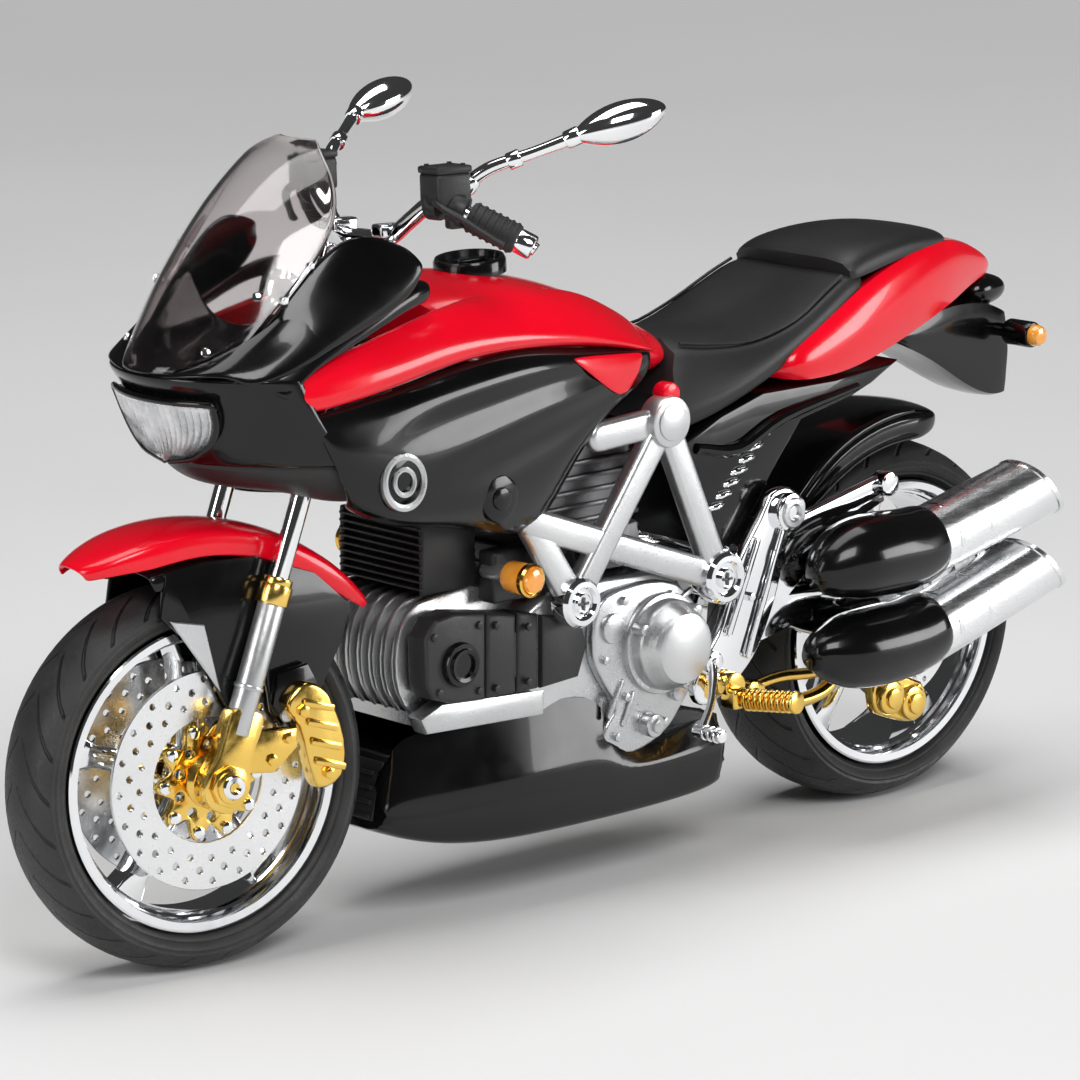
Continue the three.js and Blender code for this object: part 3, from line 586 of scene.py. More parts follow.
for s, name in ((1, "left"), (-1, "right")):
    y = s * bike["legY"]
    place("stanchion_tube_" + name, forkLength("stanchion", y, 0.1), "steering", "chrome",
          "stanchion_" + name,
          "fork", 30)
    leg = merged(forkLength("leg", y, 0.12), forkLength("band", y, 0.1))
    place("slider_leg_" + name, leg, "fork_sliders", "satin_metal", "slider_" + name, "fork", 30)
    collar = merged(forkLength("collar", y, 0.2), forkLength("seal", y, 0.15))
    place("slider_collar_" + name, collar, "fork_sliders", "gold_plate", (), "fork", 30)
    clampSlab = slab(smoothLoop([(-2.5, 8.4), (-2.3, 3), (-3.2, 0.4), (-2.2, -2.6), (0, -3.3), (2.3, -2.4),
                                 (3.1, 0), (2.2, 3), (2.0, 8.2), (0, 9.2)], 3), y - 1.35, y + 1.35, 0.35, 2)
    foot = merged(clampSlab, slab([(-2.0, 6.9), (-7.6, 8.6), (-8.4, 6.4), (-6.2, 2.8), (-2.2, 1.8)],
                                  y - 0.7, y + 0.7, 0.25, 2),
                  across(0.7, -6.8, 7.2, y - s * 0.9, y + s * 1.15, 6, 0.12),
                  across(0.7, -5.3, 4.2, y - s * 0.9, y + s * 1.15, 6, 0.12))
    place("slider_foot_" + name, foot, "fork_sliders", "gold_plate", (), "fork", 30)

yokeBars = []
for low, thick in ((38.6, 3.0), (57.0, 2.4)):
    outline = [(1.0, 8.9), (-2, 9.6), (-5, 6.6), (-6.2, 3), (-6.4, 0), (-6.2, -3), (-5, -6.6), (-2, -9.6),
               (1.0, -8.9), (1.6, -6.6), (0.4, -3), (0.2, 0), (0.4, 3), (1.6, 6.6)]
    bm = slab(smoothLoop(outline, 3), low, low + thick, 0.3, 2)
    bm.transform(Matrix(((1, 0, 0, 0), (0, 0, 1, 0), (0, 1, 0, 0), (0, 0, 0, 1))))
    bmesh.ops.recalc_face_normals(bm, faces=bm.faces)
    yokeBars.append(bm)
    for s in (1, -1):
        yokeBars.append(rod(2.35, (0, s * 8.2, low - 0.2), (0, s * 8.2, low + thick + 0.2), 32, 0.2))
yokeBars += [rod(1.5, (-3.45, 0, 39), (-3.45, 0, 58.6), 24, 0.1),
             rod(2.0, (-3.45, 0, 59.2), (-3.45, 0, 60.3), 6, 0.15)]
for s in (1, -1):
    yokeBars.append(rod(1.55, (-3.9, s * 5, 58), (-3.9, s * 5, 63.2), 24, 0.25))
    yokeBars.append(block((3.6, 2.2, 2.2), (-3.9, s * 5, 64.0), 0.4))
place("yoke_body", merged(*yokeBars), "steering", "chrome", "steering_yoke", "fork", 30)

caliper = {"outline": [(48.4, 31.2), (45.6, 33.4), (42.6, 31.6), (40.6, 26), (41.2, 21.6), (44.4, 20.6),
                       (45.6, 24), (46.6, 28.2)], "ribs": 4, "bolts": [(46.4, 30.2), (43.2, 22.3)]}
caliperParts = [slab(smoothLoop(caliper["outline"], 3), 6.7, 9.3, 0.5, 3)]
for k in range(caliper["ribs"]):
    caliperParts.append(block((4.4, 1.0, 0.9), (43.0 + 0.42 * k, 9.35, 23.4 + 2.4 * k), 0.25, 2,
                              Matrix.Rotation(math.radians(-18), 4, "Y")))
caliperParts += [across(0.75, x, z, 9.0, 9.95, 6, 0.12) for x, z in caliper["bolts"]]
placeBoth("front_caliper_body", merged(*caliperParts), "fork_sliders", "gold_plate", "front_caliper",
          "steer")


def fenderRows(centre, angles, shape):
    rows = []
    for angle in angles:
        half, top, drop, crown = shape(angle)
        a = math.radians(angle)
        row = []
        for t, fall in ((-1.0, drop), (-1.0, 0.55), (-0.9, 0.12), (-0.55, 0.0), (0, 0), (0.55, 0.0),
                        (0.9, 0.12), (1.0, 0.55), (1.0, drop)):
            reach = top - crown * t * t - fall
            row.append((centre[0] + reach * math.cos(a), t * half, centre[1] + reach * math.sin(a)))
        rows.append(row)
    return rows


def frontFenderShape(angle):
    tip = min(1.0, (angle - 61) / 14)
    end = min(1.0, (143 - angle) / 12)
    return 6.2 * (0.45 + 0.55 * tip ** 0.6) * (0.8 + 0.2 * end), 30.5, 1.2 + 1.9 * tip * end, 0.9


frontCentre = (bike["frontX"], bike["frontZ"])
bm = facing(sheet(fenderRows(frontCentre, [61, 63, 68, 76, 86, 96, 108, 120, 132, 140, 143],
                             frontFenderShape)),
            (0, 0, 1))
place("fender_shell", bm, "fork_sliders", "red_paint", "front_fender", "steer", 60, rounds=2, wall=0.5)
braceArch = facing(sheet(fenderRows(frontCentre, [74, 78, 86, 98, 110, 122, 132, 136],
                                    lambda angle: (6.15, 26.6, 2.4, 0.5))), (0, 0, 1))
place("brace_arch", braceArch, "fork_sliders", "gloss_black", "fender_brace", "steer", 60, rounds=2,
      wall=0.6)
brace = {"cheek": [(63.2, 43), (62.2, 48.2), (57, 48.9), (50, 48.6), (42, 45.6), (37.2, 41.2), (38.4, 37.4),
                   (43.0, 29.6), (44.4, 28.0), (47.6, 28.0), (48.8, 30), (49.6, 36), (51.6, 32),
                   (53.2, 29.4), (55.2, 32), (58, 38.4)],
         "lug": [(46.9, 27.6), (44.0, 28.2), (42.4, 31.6), (44.2, 35.2), (48.4, 34.6), (49.3, 31)],
         "facet": [(62.2, 42.6), (57.6, 41.6), (55.8, 33.4), (58.6, 37.4)],
         "screws": [(47.6, 29.6), (44.6, 31.6)]}
placeBoth("brace_cheek", merged(slab(brace["cheek"], 5.5, 6.4, 0.25, 2),
                                slab(brace["lug"], 6.3, 7.6, 0.3, 2)),
          "fork_sliders", "gloss_black", "", "steer")
screws = [across(0.85, x, z, 7.5, 7.95, 20, 0.15) for x, z in brace["screws"]]
placeBoth("brace_screws", merged(*screws, slab(brace["facet"], 6.4, 6.8, 0.15, 1)), "fork_sliders",
          "satin_metal", "", "steer")
print("fork done")


# Bodywork
def mirrorRow(points):
    return [(x, -y, z) for x, y, z in reversed(points) if abs(y) > 1e-6] + list(points)


def pillow(name, stations, body, look, nodes=(), rounds=2, creased=(), creasedRings=(), angle=60):
    rings = [bothSides(points) for points in stations]
    return place(name, loft(rings, True, creased, creasedRings), body, look, nodes, "bike", angle, rounds)


def panel(name, rows, look, node="", wall=0.6, outward=(0, 1, 0)):
    placeBoth(name, facing(sheet(rows), outward), "chassis", look, node, "bike", 60, 2, wall)


tank = {"stations": [
    [(26.6, 0, 76.6), (26.6, 5, 76.4), (26.4, 9.5, 75.4), (26.2, 11.6, 73.6), (26, 11.6, 71),
     (26, 5, 70.4), (26, 0, 70.4)],
    [(24, 0, 77.7), (24, 5, 77.5), (24, 9.6, 76.8), (24, 12.8, 75.4), (24, 13.2, 72.6), (24, 5, 70),
     (24, 0, 70)],
    [(18, 0, 78.2), (18, 5, 78.0), (18, 9.4, 77.4), (18, 12.9, 75.6), (18, 13.4, 72.2), (18, 5, 68),
     (18, 0, 68)],
    [(11, 0, 77.5), (11, 5, 77.3), (11, 9.2, 76.6), (11, 12.6, 74.6), (11, 13, 70.8), (11, 5, 66),
     (11, 0, 66)],
    [(4, 0, 76.0), (4, 4.8, 75.7), (4, 8.9, 74.8), (4, 12.0, 72.6), (4, 12.4, 69), (4, 5, 64), (4, 0, 64)],
    [(-3, 0, 73.3), (-3, 4.6, 72.9), (-3, 8.2, 71.9), (-3, 11.0, 69.6), (-3, 11.4, 66.4), (-3, 5, 62),
     (-3, 0, 62)],
    [(-9, 0, 70.5), (-9, 4.2, 70.1), (-9, 7.2, 69.0), (-9, 9.6, 67.0), (-9, 9.8, 64.6), (-9, 4, 61.6),
     (-9, 0, 61.6)],
    [(-13.6, 0, 68.3), (-13.6, 3.4, 67.9), (-13.6, 5.8, 67.0), (-13.6, 7.4, 65.6), (-13.6, 7.6, 64),
     (-13.6, 4, 62), (-13.6, 0, 62)],
    [(-16.2, 0, 66.9), (-16.2, 2.6, 66.6), (-16.1, 4.2, 66.0), (-16, 5, 65), (-16, 5, 64), (-16, 3, 63),
     (-16, 0, 63)],
]}
pillow("tank_shell", tank["stations"], "chassis", "red_paint", "fuel_tank", creasedRings=((0, 0.7),))

spear = {"rows": [
    [(53.7, 11.2, 71.0), (53.6, 12.6, 70.9), (52.9, 14.1, 70.0), (51.6, 14.9, 68.2), (50.8, 14.7, 66.9),
     (50.6, 13.4, 66.6)],
    [(50.5, 12.4, 71.6), (50, 13.2, 72.0), (49.3, 14.9, 70.9), (48.4, 15.7, 68.6), (47.8, 15.4, 67.1),
     (47.6, 13.6, 66.8)],
    [(44, 13.2, 73.0), (43.6, 13.9, 73.6), (43, 15.2, 72.2), (42.4, 16.3, 69.6), (42, 15.9, 67.8),
     (42, 13.6, 67.4)],
    [(37, 13.0, 74.6), (36.8, 13.8, 75.2), (36.4, 15.0, 73.4), (36, 16.4, 70.8), (36, 16.0, 68.8),
     (36, 13.4, 68.2)],
    [(31, 12.5, 75.8), (30.8, 13.3, 76.5), (30.6, 14.8, 74.6), (30.4, 16.3, 71.8), (30.4, 15.9, 69.9),
     (30.4, 13.4, 69.2)],
    [(24, 10.6, 76.8), (24, 12.3, 76.5), (24, 14.5, 74.6), (24, 16.0, 72.3), (24, 15.7, 70.6),
     (24, 13, 70)],
    [(16, 8.4, 76.9), (16, 11.8, 76.0), (16, 14.0, 73.9), (16, 15.5, 71.9), (16, 15.2, 70.5),
     (16, 12.6, 70)],
    [(8, 7.8, 76.4), (8, 11.0, 74.9), (8, 13.2, 72.7), (8, 14.7, 70.9), (8, 14.4, 69.8), (8, 12, 69.2)],
    [(1, 7.4, 74.9), (1, 10.2, 73.0), (1, 12.4, 70.9), (1, 13.7, 69.5), (1, 13.4, 68.7), (1, 11.4, 68.2)],
    [(-5, 6.6, 72.1), (-5, 9.4, 70.1), (-5.2, 11.2, 68.6), (-5.4, 12.3, 67.7), (-5.6, 12.0, 67.1),
     (-5.6, 10.4, 66.8)],
    [(-9, 6.0, 70.0), (-9, 8.4, 68.2), (-9.2, 9.6, 67.2), (-9.4, 10.3, 66.6), (-9.4, 10.0, 66.2),
     (-9.4, 9.2, 66)],
]}
panel("spear", spear["rows"], "red_paint", outward=(0, 1, 0.6), wall=0.7)

pod = {"rows": [
    [(50.6, 13.9, 66.4), (50.0, 14.9, 65.6), (49.2, 15.5, 64.0), (48.4, 15.9, 62.2), (47.4, 16.0, 60.2),
     (46.6, 15.9, 58.4), (45.6, 15.5, 56.8), (44.8, 14.6, 55.4), (44.2, 13.0, 54.8)],
    [(46.5, 14.4, 67.0), (46.3, 15.5, 66.0), (46, 16.2, 64.0), (45.6, 16.5, 61.8), (45, 16.7, 59.6),
     (44.2, 16.6, 57.2), (43, 16.2, 55.2), (42.2, 15.2, 54.0), (42, 13.2, 53.4)],
    [(40.5, 14.6, 67.8), (40.4, 15.8, 66.8), (40.2, 16.6, 64.4), (39.8, 17.0, 61.8), (39.4, 17.2, 59),
     (38.8, 17.2, 56), (38, 16.8, 53.4), (37.6, 15.6, 52), (37.4, 13.4, 51.4)],
    [(35, 14.6, 68.6), (35, 15.8, 67.8), (34.4, 16.8, 66.0), (33.6, 16.5, 63.2), (33, 17.4, 60.4),
     (32.4, 17.2, 56.4), (32, 16.9, 52.6), (31.6, 15.6, 51.2), (31.4, 13.4, 50.6)],
    [(29, 14.5, 69.6), (29, 15.5, 68.8), (28.6, 17.0, 66.8), (28, 16.0, 64.2), (27.6, 17.6, 61.0),
     (27, 16.6, 57.4), (26.6, 17.4, 53.0), (26.2, 15.6, 50.2), (26, 13.4, 49.6)],
    [(22, 14.2, 70.4), (22, 15.2, 69.6), (21.6, 16.7, 67.4), (21.2, 15.6, 65.0), (20.8, 17.2, 62.2),
     (20.4, 16.0, 58.8), (20, 17.0, 54.6), (19.4, 15.2, 48.4), (19.2, 13.2, 47.4)],
    [(15, 13.8, 70.4), (15, 14.7, 69.6), (14.8, 16.0, 67.8), (14.4, 15.0, 65.8), (14, 16.5, 63.2),
     (13.8, 15.2, 60.2), (13.4, 16.2, 56.4), (13.2, 14.6, 48.6), (13, 12.9, 47.2)],
    [(8, 12.9, 69.4), (8, 13.9, 68.8), (8, 15.0, 67.6), (8, 14.2, 66.0), (8, 15.6, 63.8), (8, 14.5, 61.4),
     (8, 15.3, 58.2), (8.2, 14.0, 55), (8.2, 12.8, 54)],
    [(2, 11.9, 68.6), (2, 12.9, 68.3), (2, 13.8, 67.5), (2, 13.5, 66.0), (2, 14.1, 64.2), (2, 13.6, 62.6),
     (2, 13.9, 61.0), (2.2, 13.2, 60.2), (2.2, 12.2, 60.0)],
    [(-3, 11.1, 67.9), (-3, 12.0, 67.7), (-3, 12.9, 67.2), (-3, 12.8, 66.2), (-3, 13.1, 65.0),
     (-3, 12.8, 63.8), (-3, 12.8, 62.6), (-3, 12.2, 61.8), (-3, 11.4, 61.6)],
    [(-7.6, 10.2, 67.0), (-7.6, 10.8, 66.9), (-7.6, 11.3, 66.7), (-7.6, 11.4, 66.2), (-7.6, 11.5, 65.6),
     (-7.5, 11.4, 65.0), (-7.3, 11.3, 64.4), (-7.2, 11.0, 64.0), (-7.1, 10.4, 63.8)],
]}
inset = {"rows": [
    [(9.2, 14.95, 68.4), (8.9, 15.05, 68.1), (8.6, 15.1, 67.8)],
    [(5.0, 14.5, 68.2), (4.9, 14.75, 66.6), (4.6, 14.75, 65.0)],
    [(0.6, 13.9, 67.8), (0.6, 14.2, 65.1), (0.6, 14.1, 62.3)],
    [(-3.4, 13.1, 67.4), (-2.9, 13.5, 65.0), (-1.4, 13.6, 62.4)],
    [(-4.9, 12.7, 67.1), (-4.5, 12.95, 66.0), (-3.6, 13.1, 64.6)],
]}
panel("pod_inset", inset["rows"], "red_paint", wall=0.5)
panel("pod_shell", pod["rows"], "gloss_black", "side_pod", wall=0.7)
knobAt = (22.6, 53.4)
knob = merged(across(2.9, *knobAt, 15.2, 16.9, 36, 0.5), across(1.4, *knobAt, 16.8, 17.3, 24, 0.25))
placeBoth("pod_knob", knob, "chassis", "gloss_black")
badgeAt = (38.2, 57.6)
badge = merged(spun([(2.6, 0), (2.6, 0.5), (3.0, 0.62), (3.4, 0.5), (3.4, 0)], 48),
               spun([(1.2, 0), (1.2, 0.5), (1.5, 0.6), (1.8, 0.5), (1.8, 0)], 40))
tilt = Matrix.Rotation(math.radians(6), 4, "X")
badge.transform(Matrix.Translation((badgeAt[0], 16.9, badgeAt[1])) @ tilt)
placeBoth("pod_rings", badge, "chassis", "satin_metal")
placeBoth("pod_ring_seat", across(3.5, *badgeAt, 15.8, 17.1, 48, 0.2), "chassis", "gloss_black")

nose = {"mask": [
    (71.2, [(63.9, 0), (63.2, 4.5), (61, 9), (57.6, 12.4), (53.4, 14.2), (51, 14.6)]),
    (70.4, [(63.6, 0), (62.9, 4.5), (60.7, 9), (57.4, 12.4), (53.2, 14.3), (50.8, 14.7)]),
    (68.8, [(62.2, 0), (61.4, 4.5), (59.3, 9), (56.2, 12.4), (52.7, 14.5), (50.2, 15.0)]),
    (66.2, [(60.6, 0), (59.9, 4.5), (57.9, 9), (54.9, 12.5), (51.4, 14.9), (49.0, 15.5)]),
    (63, [(59.6, 0), (58.8, 4.4), (56.6, 8.9), (53.4, 12.4), (49.8, 15), (47.2, 15.9)]),
    (60, [(58.3, 0), (57.3, 4.2), (54.7, 8.4), (51.3, 11.8), (48, 14.4), (45.2, 15.6)]),
    (57.4, [(55.6, 0), (54.6, 4), (52, 7.8), (48.8, 10.9), (45.8, 13.2), (43.2, 14.2)]),
    (55.4, [(51.4, 0), (50.4, 3.8), (48.2, 7), (45.8, 9.8), (43.6, 11.8), (41.6, 12.6)]),
    (54.6, [(47, 0), (46.4, 3.4), (45, 6), (43, 8.4), (41.4, 10.4), (39.8, 11.2)]),
], "cowl": [
    [(63.9, 0, 71.3), (63.0, 5, 71.6), (61.2, 9, 71.9), (59.4, 10.9, 71.8), (58.4, 11.7, 71.2),
     (57.6, 12.4, 70.6)],
    [(60, 0, 72.0), (59.4, 5, 72.6), (57.8, 9.4, 74.2), (56.4, 11.6, 73.0), (55.4, 13.0, 72.2),
     (54.8, 13.8, 70.9)],
    [(55, 0, 73.2), (54.6, 6, 74.2), (52.8, 10.5, 77.6), (51.6, 12.4, 75.4), (50.6, 14.1, 74.2),
     (50.2, 14.6, 72.4)],
    [(49, 0, 75.2), (48.6, 6, 76.6), (47.5, 11.3, 82.7), (46.4, 13.2, 78.8), (45.2, 14.7, 76.8),
     (44.8, 15.0, 74.6)],
    [(43, 0, 78.0), (42.6, 6, 79.6), (42.9, 11.9, 86.4), (41.2, 13.8, 82.0), (39.4, 15.2, 79.4),
     (38.8, 15.4, 76.8)],
    [(38, 0, 80.6), (37.6, 7, 81.9), (38.8, 12.5, 86.3), (37.0, 14.3, 83.0), (35.4, 15.4, 80.8),
     (34.6, 15.5, 79.0)],
    [(35, 0, 82.0), (34.8, 8, 83.0), (34.4, 13.4, 84.6), (33.8, 14.8, 83.6), (33.2, 15.3, 82.6),
     (33.0, 15.3, 82.0)],
]}
maskRows = [mirrorRow([(x, y, z) for x, y in points]) for z, points in nose["mask"]]
place("nose_mask", facing(sheet(maskRows[:6]), (1, 0, 0)), "chassis", "gloss_black", "nose_fairing",
      "bike", 60, 2, 0.7)
chin = {"behind": 0.9, "narrow": 0.95, "rise": 1.1, "raised": 7.5, "lift": 1.0}
chinRows = [[(x - chin["behind"], y * chin["narrow"], z + chin["rise"]) for x, y, z in maskRows[5]]]
for row in maskRows[5:]:
    chinRows.append([(x - 0.12, y, z + (chin["lift"] if z < 56 and abs(y) < chin["raised"] else 0)) for x,
                     y, z in row])
place("nose_chin", facing(sheet(chinRows), (1, 0, -1)), "chassis", "matt_black", (), "bike", 60, 2, 0.7)
cowlRows = [mirrorRow(points) for points in nose["cowl"][:4]]
place("nose_cowl", facing(sheet(cowlRows), (0, 0, 1)), "chassis", "gloss_black", (), "bike", 60, 2, 0.7)
panel("cowl_wing", [[(x + 0.02, y, z + 0.02) for x, y, z in points[2:]] for points in nose["cowl"][2:]],
      "gloss_black", outward=(0, 1, 1), wall=0.7)
cheek = {"rows": [
    [(57.2, 11.9, 70.9), (54.6, 13.9, 69.7), (53.0, 14.5, 68.0)],
    [(52.6, 12.6, 73.2), (51.6, 14.1, 72.3), (50.8, 14.8, 71.4)],
    [(46.4, 12.6, 75.8), (45.6, 14.7, 75.0), (45, 14.9, 73.4)],
    [(40.4, 12.4, 78.2), (39.6, 15.0, 77.4), (39.2, 15.0, 75.6)],
    [(35.4, 12.2, 80.2), (34.8, 15.1, 79.6), (34.4, 14.8, 77.4)],
    [(31.4, 11.4, 80.2), (30.8, 14.2, 80.2), (30.6, 13.8, 77.4)],
]}
panel("cheek", cheek["rows"], "gloss_black", outward=(0, 1, 0.3), wall=0.4)

screen = {"rows": [(71.5, 64.2, 8.6), (74, 62.7, 9.8), (77, 60.9, 10.7), (80, 59.1, 11.3),
                   (83.5, 56.4, 11.7), (87, 53.4, 11.6), (90, 50.4, 10.7), (93, 46.7, 8.7),
                   (95.2, 43.2, 6.0), (96.5, 39.8, 3.2)],
          "bend": 0.072}
rows = []
for z, x, half in screen["rows"]:
    rows.append([(x - screen["bend"] * (t * half) ** 2, t * half, z)
                 for t in (-1, -0.92, -0.6, -0.3, 0, 0.3, 0.6, 0.92, 1)])
looks["smoke_screen"] = finishOf("smoke_screen", (0.80, 0.735, 0.735), (0.85, 0.79, 0.79), 0.05, grain=300,
                                 spread=0.03, depth=0.001, clear=1.0, ior=1.46)
place("screen_shell", facing(sheet(rows), (1, 0, 0)), "chassis", "smoke_screen", "windscreen", "bike", 60,
      2, 0.45)
screws = []
for t, row in ((0.72, 1), (0.8, 3)):
    for s in (1, -1):
        z, x, half = screen["rows"][row]
        y = s * t * half
        spot = Vector((x - screen["bend"] * y * y, y, z))
        out = Vector((1, 2 * screen["bend"] * y, 0.6)).normalized()
        screws.append(rod(0.55, spot, spot + out * 0.45, 16, 0.12))
for s in (1, -1):
    screws += [rod(0.32, (51.2, s * 11.2, 79.4), (47.0, s * 11.7, 83.6), 14, 0.1),
               block((0.9, 0.9, 0.9), (51.0, s * 11.2, 79.6), 0.2),
               block((0.8, 0.8, 0.8), (47.4, s * 11.7, 83.3), 0.2)]
place("screen_screws", merged(*screws), "chassis", "chrome", (), "bike", 30)

lamp = {"top": 68.3, "low": 60.6, "half": 8.9}


def lensPoint(t, v, proud):
    z = lamp["low"] + (lamp["top"] - lamp["low"]) * v
    half = lamp["half"] * math.sqrt(max(0.0, 1 - (1 - v) ** 2.4))
    y = t * max(0.4, half)
    centre = 58.5 + 0.42 * (z - 60)
    return (centre - 0.033 * y * y + proud, y, z)


def lensRows(proud, count=9):
    return [[lensPoint(-1 + 2 * k / 40, v / (count - 1),
                       proud + (0.34 if k % 2 else -0.34)) for k in range(41)]
            for v in range(count)]


looks["clear_lens"] = finishOf("clear_lens", (0.42, 0.43, 0.44), (0.74, 0.75, 0.76), 0.28, metal=0.75,
                               coat=0.5,
                               grain=900, spread=0.06, depth=0.003, patch=420)
place("lamp_reflector", facing(sheet(lensRows(0.55)), (1, 0, 0)), "chassis", "clear_lens", "headlight_lens",
      "bike", 24, 0, 0.5)
rimLine = [lensPoint(1, v / 12, 0.55) for v in range(13)]
rimLine += [lensPoint(t, 1, 0.55) for t in (0.6, 0.2, -0.2, -0.6)]
rimLine += [lensPoint(-1, v / 12, 0.55) for v in range(12, -1, -1)]
place("lamp_rim", tube(rimLine, 0.42, 10, 2), "chassis", "gloss_black", (), "bike", 50)

seat = {"front": [
    [(-15.9, 0, 66.8), (-15.9, 4.5, 66.6), (-14.8, 7.8, 65.2), (-12.8, 9.8, 61.8), (-11.0, 10.6, 58.0),
     (-12, 10.2, 55.6), (-13, 5, 56), (-13, 0, 56)],
    [(-20, 0, 66.3), (-20, 5.4, 66.2), (-19.4, 9.2, 65.0), (-17.8, 11.0, 62), (-16.2, 11.8, 58.6),
     (-17.4, 11.4, 57), (-20, 5, 57.6), (-20, 0, 57.6)],
    [(-26, 0, 66.0), (-26, 6.2, 66.0), (-26, 10.6, 65.2), (-24.9, 12.0, 63.0), (-23.2, 12.3, 60.6),
     (-25, 12, 59.8), (-26, 6, 60), (-26, 0, 60)],
    [(-33, 0, 67.4), (-33, 6.6, 67.6), (-33, 11.2, 67.2), (-32.2, 12.4, 65.8), (-31.4, 12.5, 64.2),
     (-32.6, 12, 63.2), (-33, 6, 63), (-33, 0, 63)],
    [(-39, 0, 70.0), (-39, 6.4, 70.4), (-39, 10.6, 70.1), (-39, 11.8, 69), (-38.6, 11.9, 67.4),
     (-39, 11.4, 66.2), (-39, 6, 65.8), (-39, 0, 65.8)],
    [(-43.6, 0, 72.2), (-43.6, 6.2, 72.5), (-43.6, 9.8, 72.3), (-43.6, 10.9, 71.5), (-43.6, 11.1, 70.2),
     (-44, 10.6, 69), (-44, 5, 68.8), (-44, 0, 68.8)],
    [(-48, 0, 71.6), (-48, 6.2, 71.8), (-48, 9.2, 71.7), (-48, 10.2, 71.4), (-48, 10.2, 71.0),
     (-48, 9.8, 70.6), (-48, 5, 70.4), (-48, 0, 70.4)],
], "rear": [
    [(-43.2, 0, 73.7), (-43.2, 6, 73.8), (-43.4, 9.4, 73.4), (-43.6, 10.4, 72.4), (-43.8, 10.4, 71.4),
     (-44, 5, 71), (-44, 0, 71)],
    [(-45.0, 0, 75.1), (-45.0, 6, 75.2), (-45.2, 9.5, 74.6), (-45.4, 10.7, 73.2), (-45.6, 10.7, 71.6),
     (-45.6, 5, 71.4), (-45.6, 0, 71.4)],
    [(-51, 0, 76.0), (-51, 6, 76.0), (-51, 9.2, 75.5), (-51, 10.3, 74.2), (-51, 10.2, 72.6),
     (-51, 5, 72.4), (-51, 0, 72.4)],
    [(-58, 0, 76.3), (-58, 5.6, 76.2), (-58, 8.3, 75.8), (-58, 9.3, 74.8), (-58, 9.2, 73.6),
     (-58, 5, 73.4), (-58, 0, 73.4)],
    [(-64, 0, 75.7), (-64, 4.6, 75.6), (-64, 6.8, 75.2), (-64, 7.8, 74.4), (-64, 7.6, 73.5),
     (-64, 4, 73.3), (-64, 0, 73.3)],
    [(-66.8, 0, 74.5), (-66.8, 3.6, 74.4), (-66.7, 5.3, 74.1), (-66.6, 6, 73.8), (-66.5, 5.8, 73.4),
     (-66.4, 3, 73.3), (-66.4, 0, 73.3)],
]}
pillow("seat_front", seat["front"], "chassis", "seat_cover", "seat",
       creased=((2, 0.35), (4, 0.5), (5, 0.5), (9, 0.5), (10, 0.5), (12, 0.35)), creasedRings=((0, 0.5),))
pillow("seat_rear", seat["rear"], "chassis", "seat_cover", (), creased=((4, 0.6), (8, 0.6)),
       creasedRings=((0, 0.6),))
seam = spline([(-16.4, 7.0, 66.05), (-20.2, 8.6, 65.75), (-26, 10.2, 65.7), (-33, 10.9, 67.6),
               (-38.8, 10.3, 70.4), (-42.4, 9.8, 72.0)], 3)
piping = tube([tuple(p) for p in seam], 0.22, 8, 1)
place("seat_piping", merged(piping, flipped(piping.copy())), "chassis", "seat_cover", (), "bike", 60)

tail = {"stations": [
    [(-29, 0, 61.5), (-28.6, 9, 61.7), (-27.6, 12.7, 61.6), (-27.2, 13.4, 61.0), (-28.2, 13.0, 60.3),
     (-29, 6, 60.1), (-29, 0, 60.1)],
    [(-33.5, 0, 63.8), (-33, 9, 64), (-32.4, 12.4, 65.2), (-33.6, 13.9, 62.8), (-35.5, 13.1, 60.0),
     (-35.5, 6, 59.9), (-35.5, 0, 59.9)],
    [(-40, 0, 66), (-40, 9, 66.6), (-39.8, 11.8, 68.5), (-40.4, 13.7, 65), (-41.4, 12.7, 60.3),
     (-41, 6, 60.2), (-41, 0, 60.2)],
    [(-46, 0, 69), (-46, 8, 69.5), (-46, 11.0, 71.3), (-46.6, 12.9, 67), (-47, 11.9, 61.2),
     (-47, 5, 61.2), (-47, 0, 61.2)],
    [(-53, 0, 71.8), (-53, 7, 72.2), (-53, 10, 73.3), (-53, 11.8, 69.2), (-53.4, 10.9, 62.7),
     (-53.4, 5, 62.6), (-53.4, 0, 62.6)],
    [(-60, 0, 72.6), (-60, 6, 73.2), (-60, 8.8, 74.4), (-60, 10.2, 71), (-60.2, 9.4, 64.3),
     (-60.2, 4, 64.2), (-60.2, 0, 64.2)],
    [(-66, 0, 73.4), (-66, 5, 73.7), (-66, 7.0, 74.0), (-66.2, 8.2, 71.4), (-66.4, 7.6, 65.7),
     (-66.4, 4, 65.6), (-66.4, 0, 65.6)],
    [(-71, 0, 73.3), (-71, 3.6, 73.2), (-71, 5.2, 72.6), (-71.4, 6.0, 70.7), (-71.6, 5.3, 66.8),
     (-71.6, 3, 66.6), (-71.6, 0, 66.6)],
    [(-75.6, 0, 71.6), (-75.6, 2.2, 71.4), (-75.8, 3.6, 70.8), (-76, 4.1, 69.6), (-76, 3.6, 67.4),
     (-76, 2, 67.2), (-76, 0, 67.2)],
    [(-79.6, 0, 69.2), (-79.6, 1.2, 69.1), (-79.7, 2.0, 68.8), (-79.8, 2.2, 68.3), (-79.8, 1.9, 67.7),
     (-79.7, 1, 67.6), (-79.6, 0, 67.6)],
]}
pillow("tail_shell", tail["stations"], "chassis", "red_paint", "tail_cowl",
       creased=((2, 0.35), (4, 0.6), (8, 0.6), (10, 0.35)))

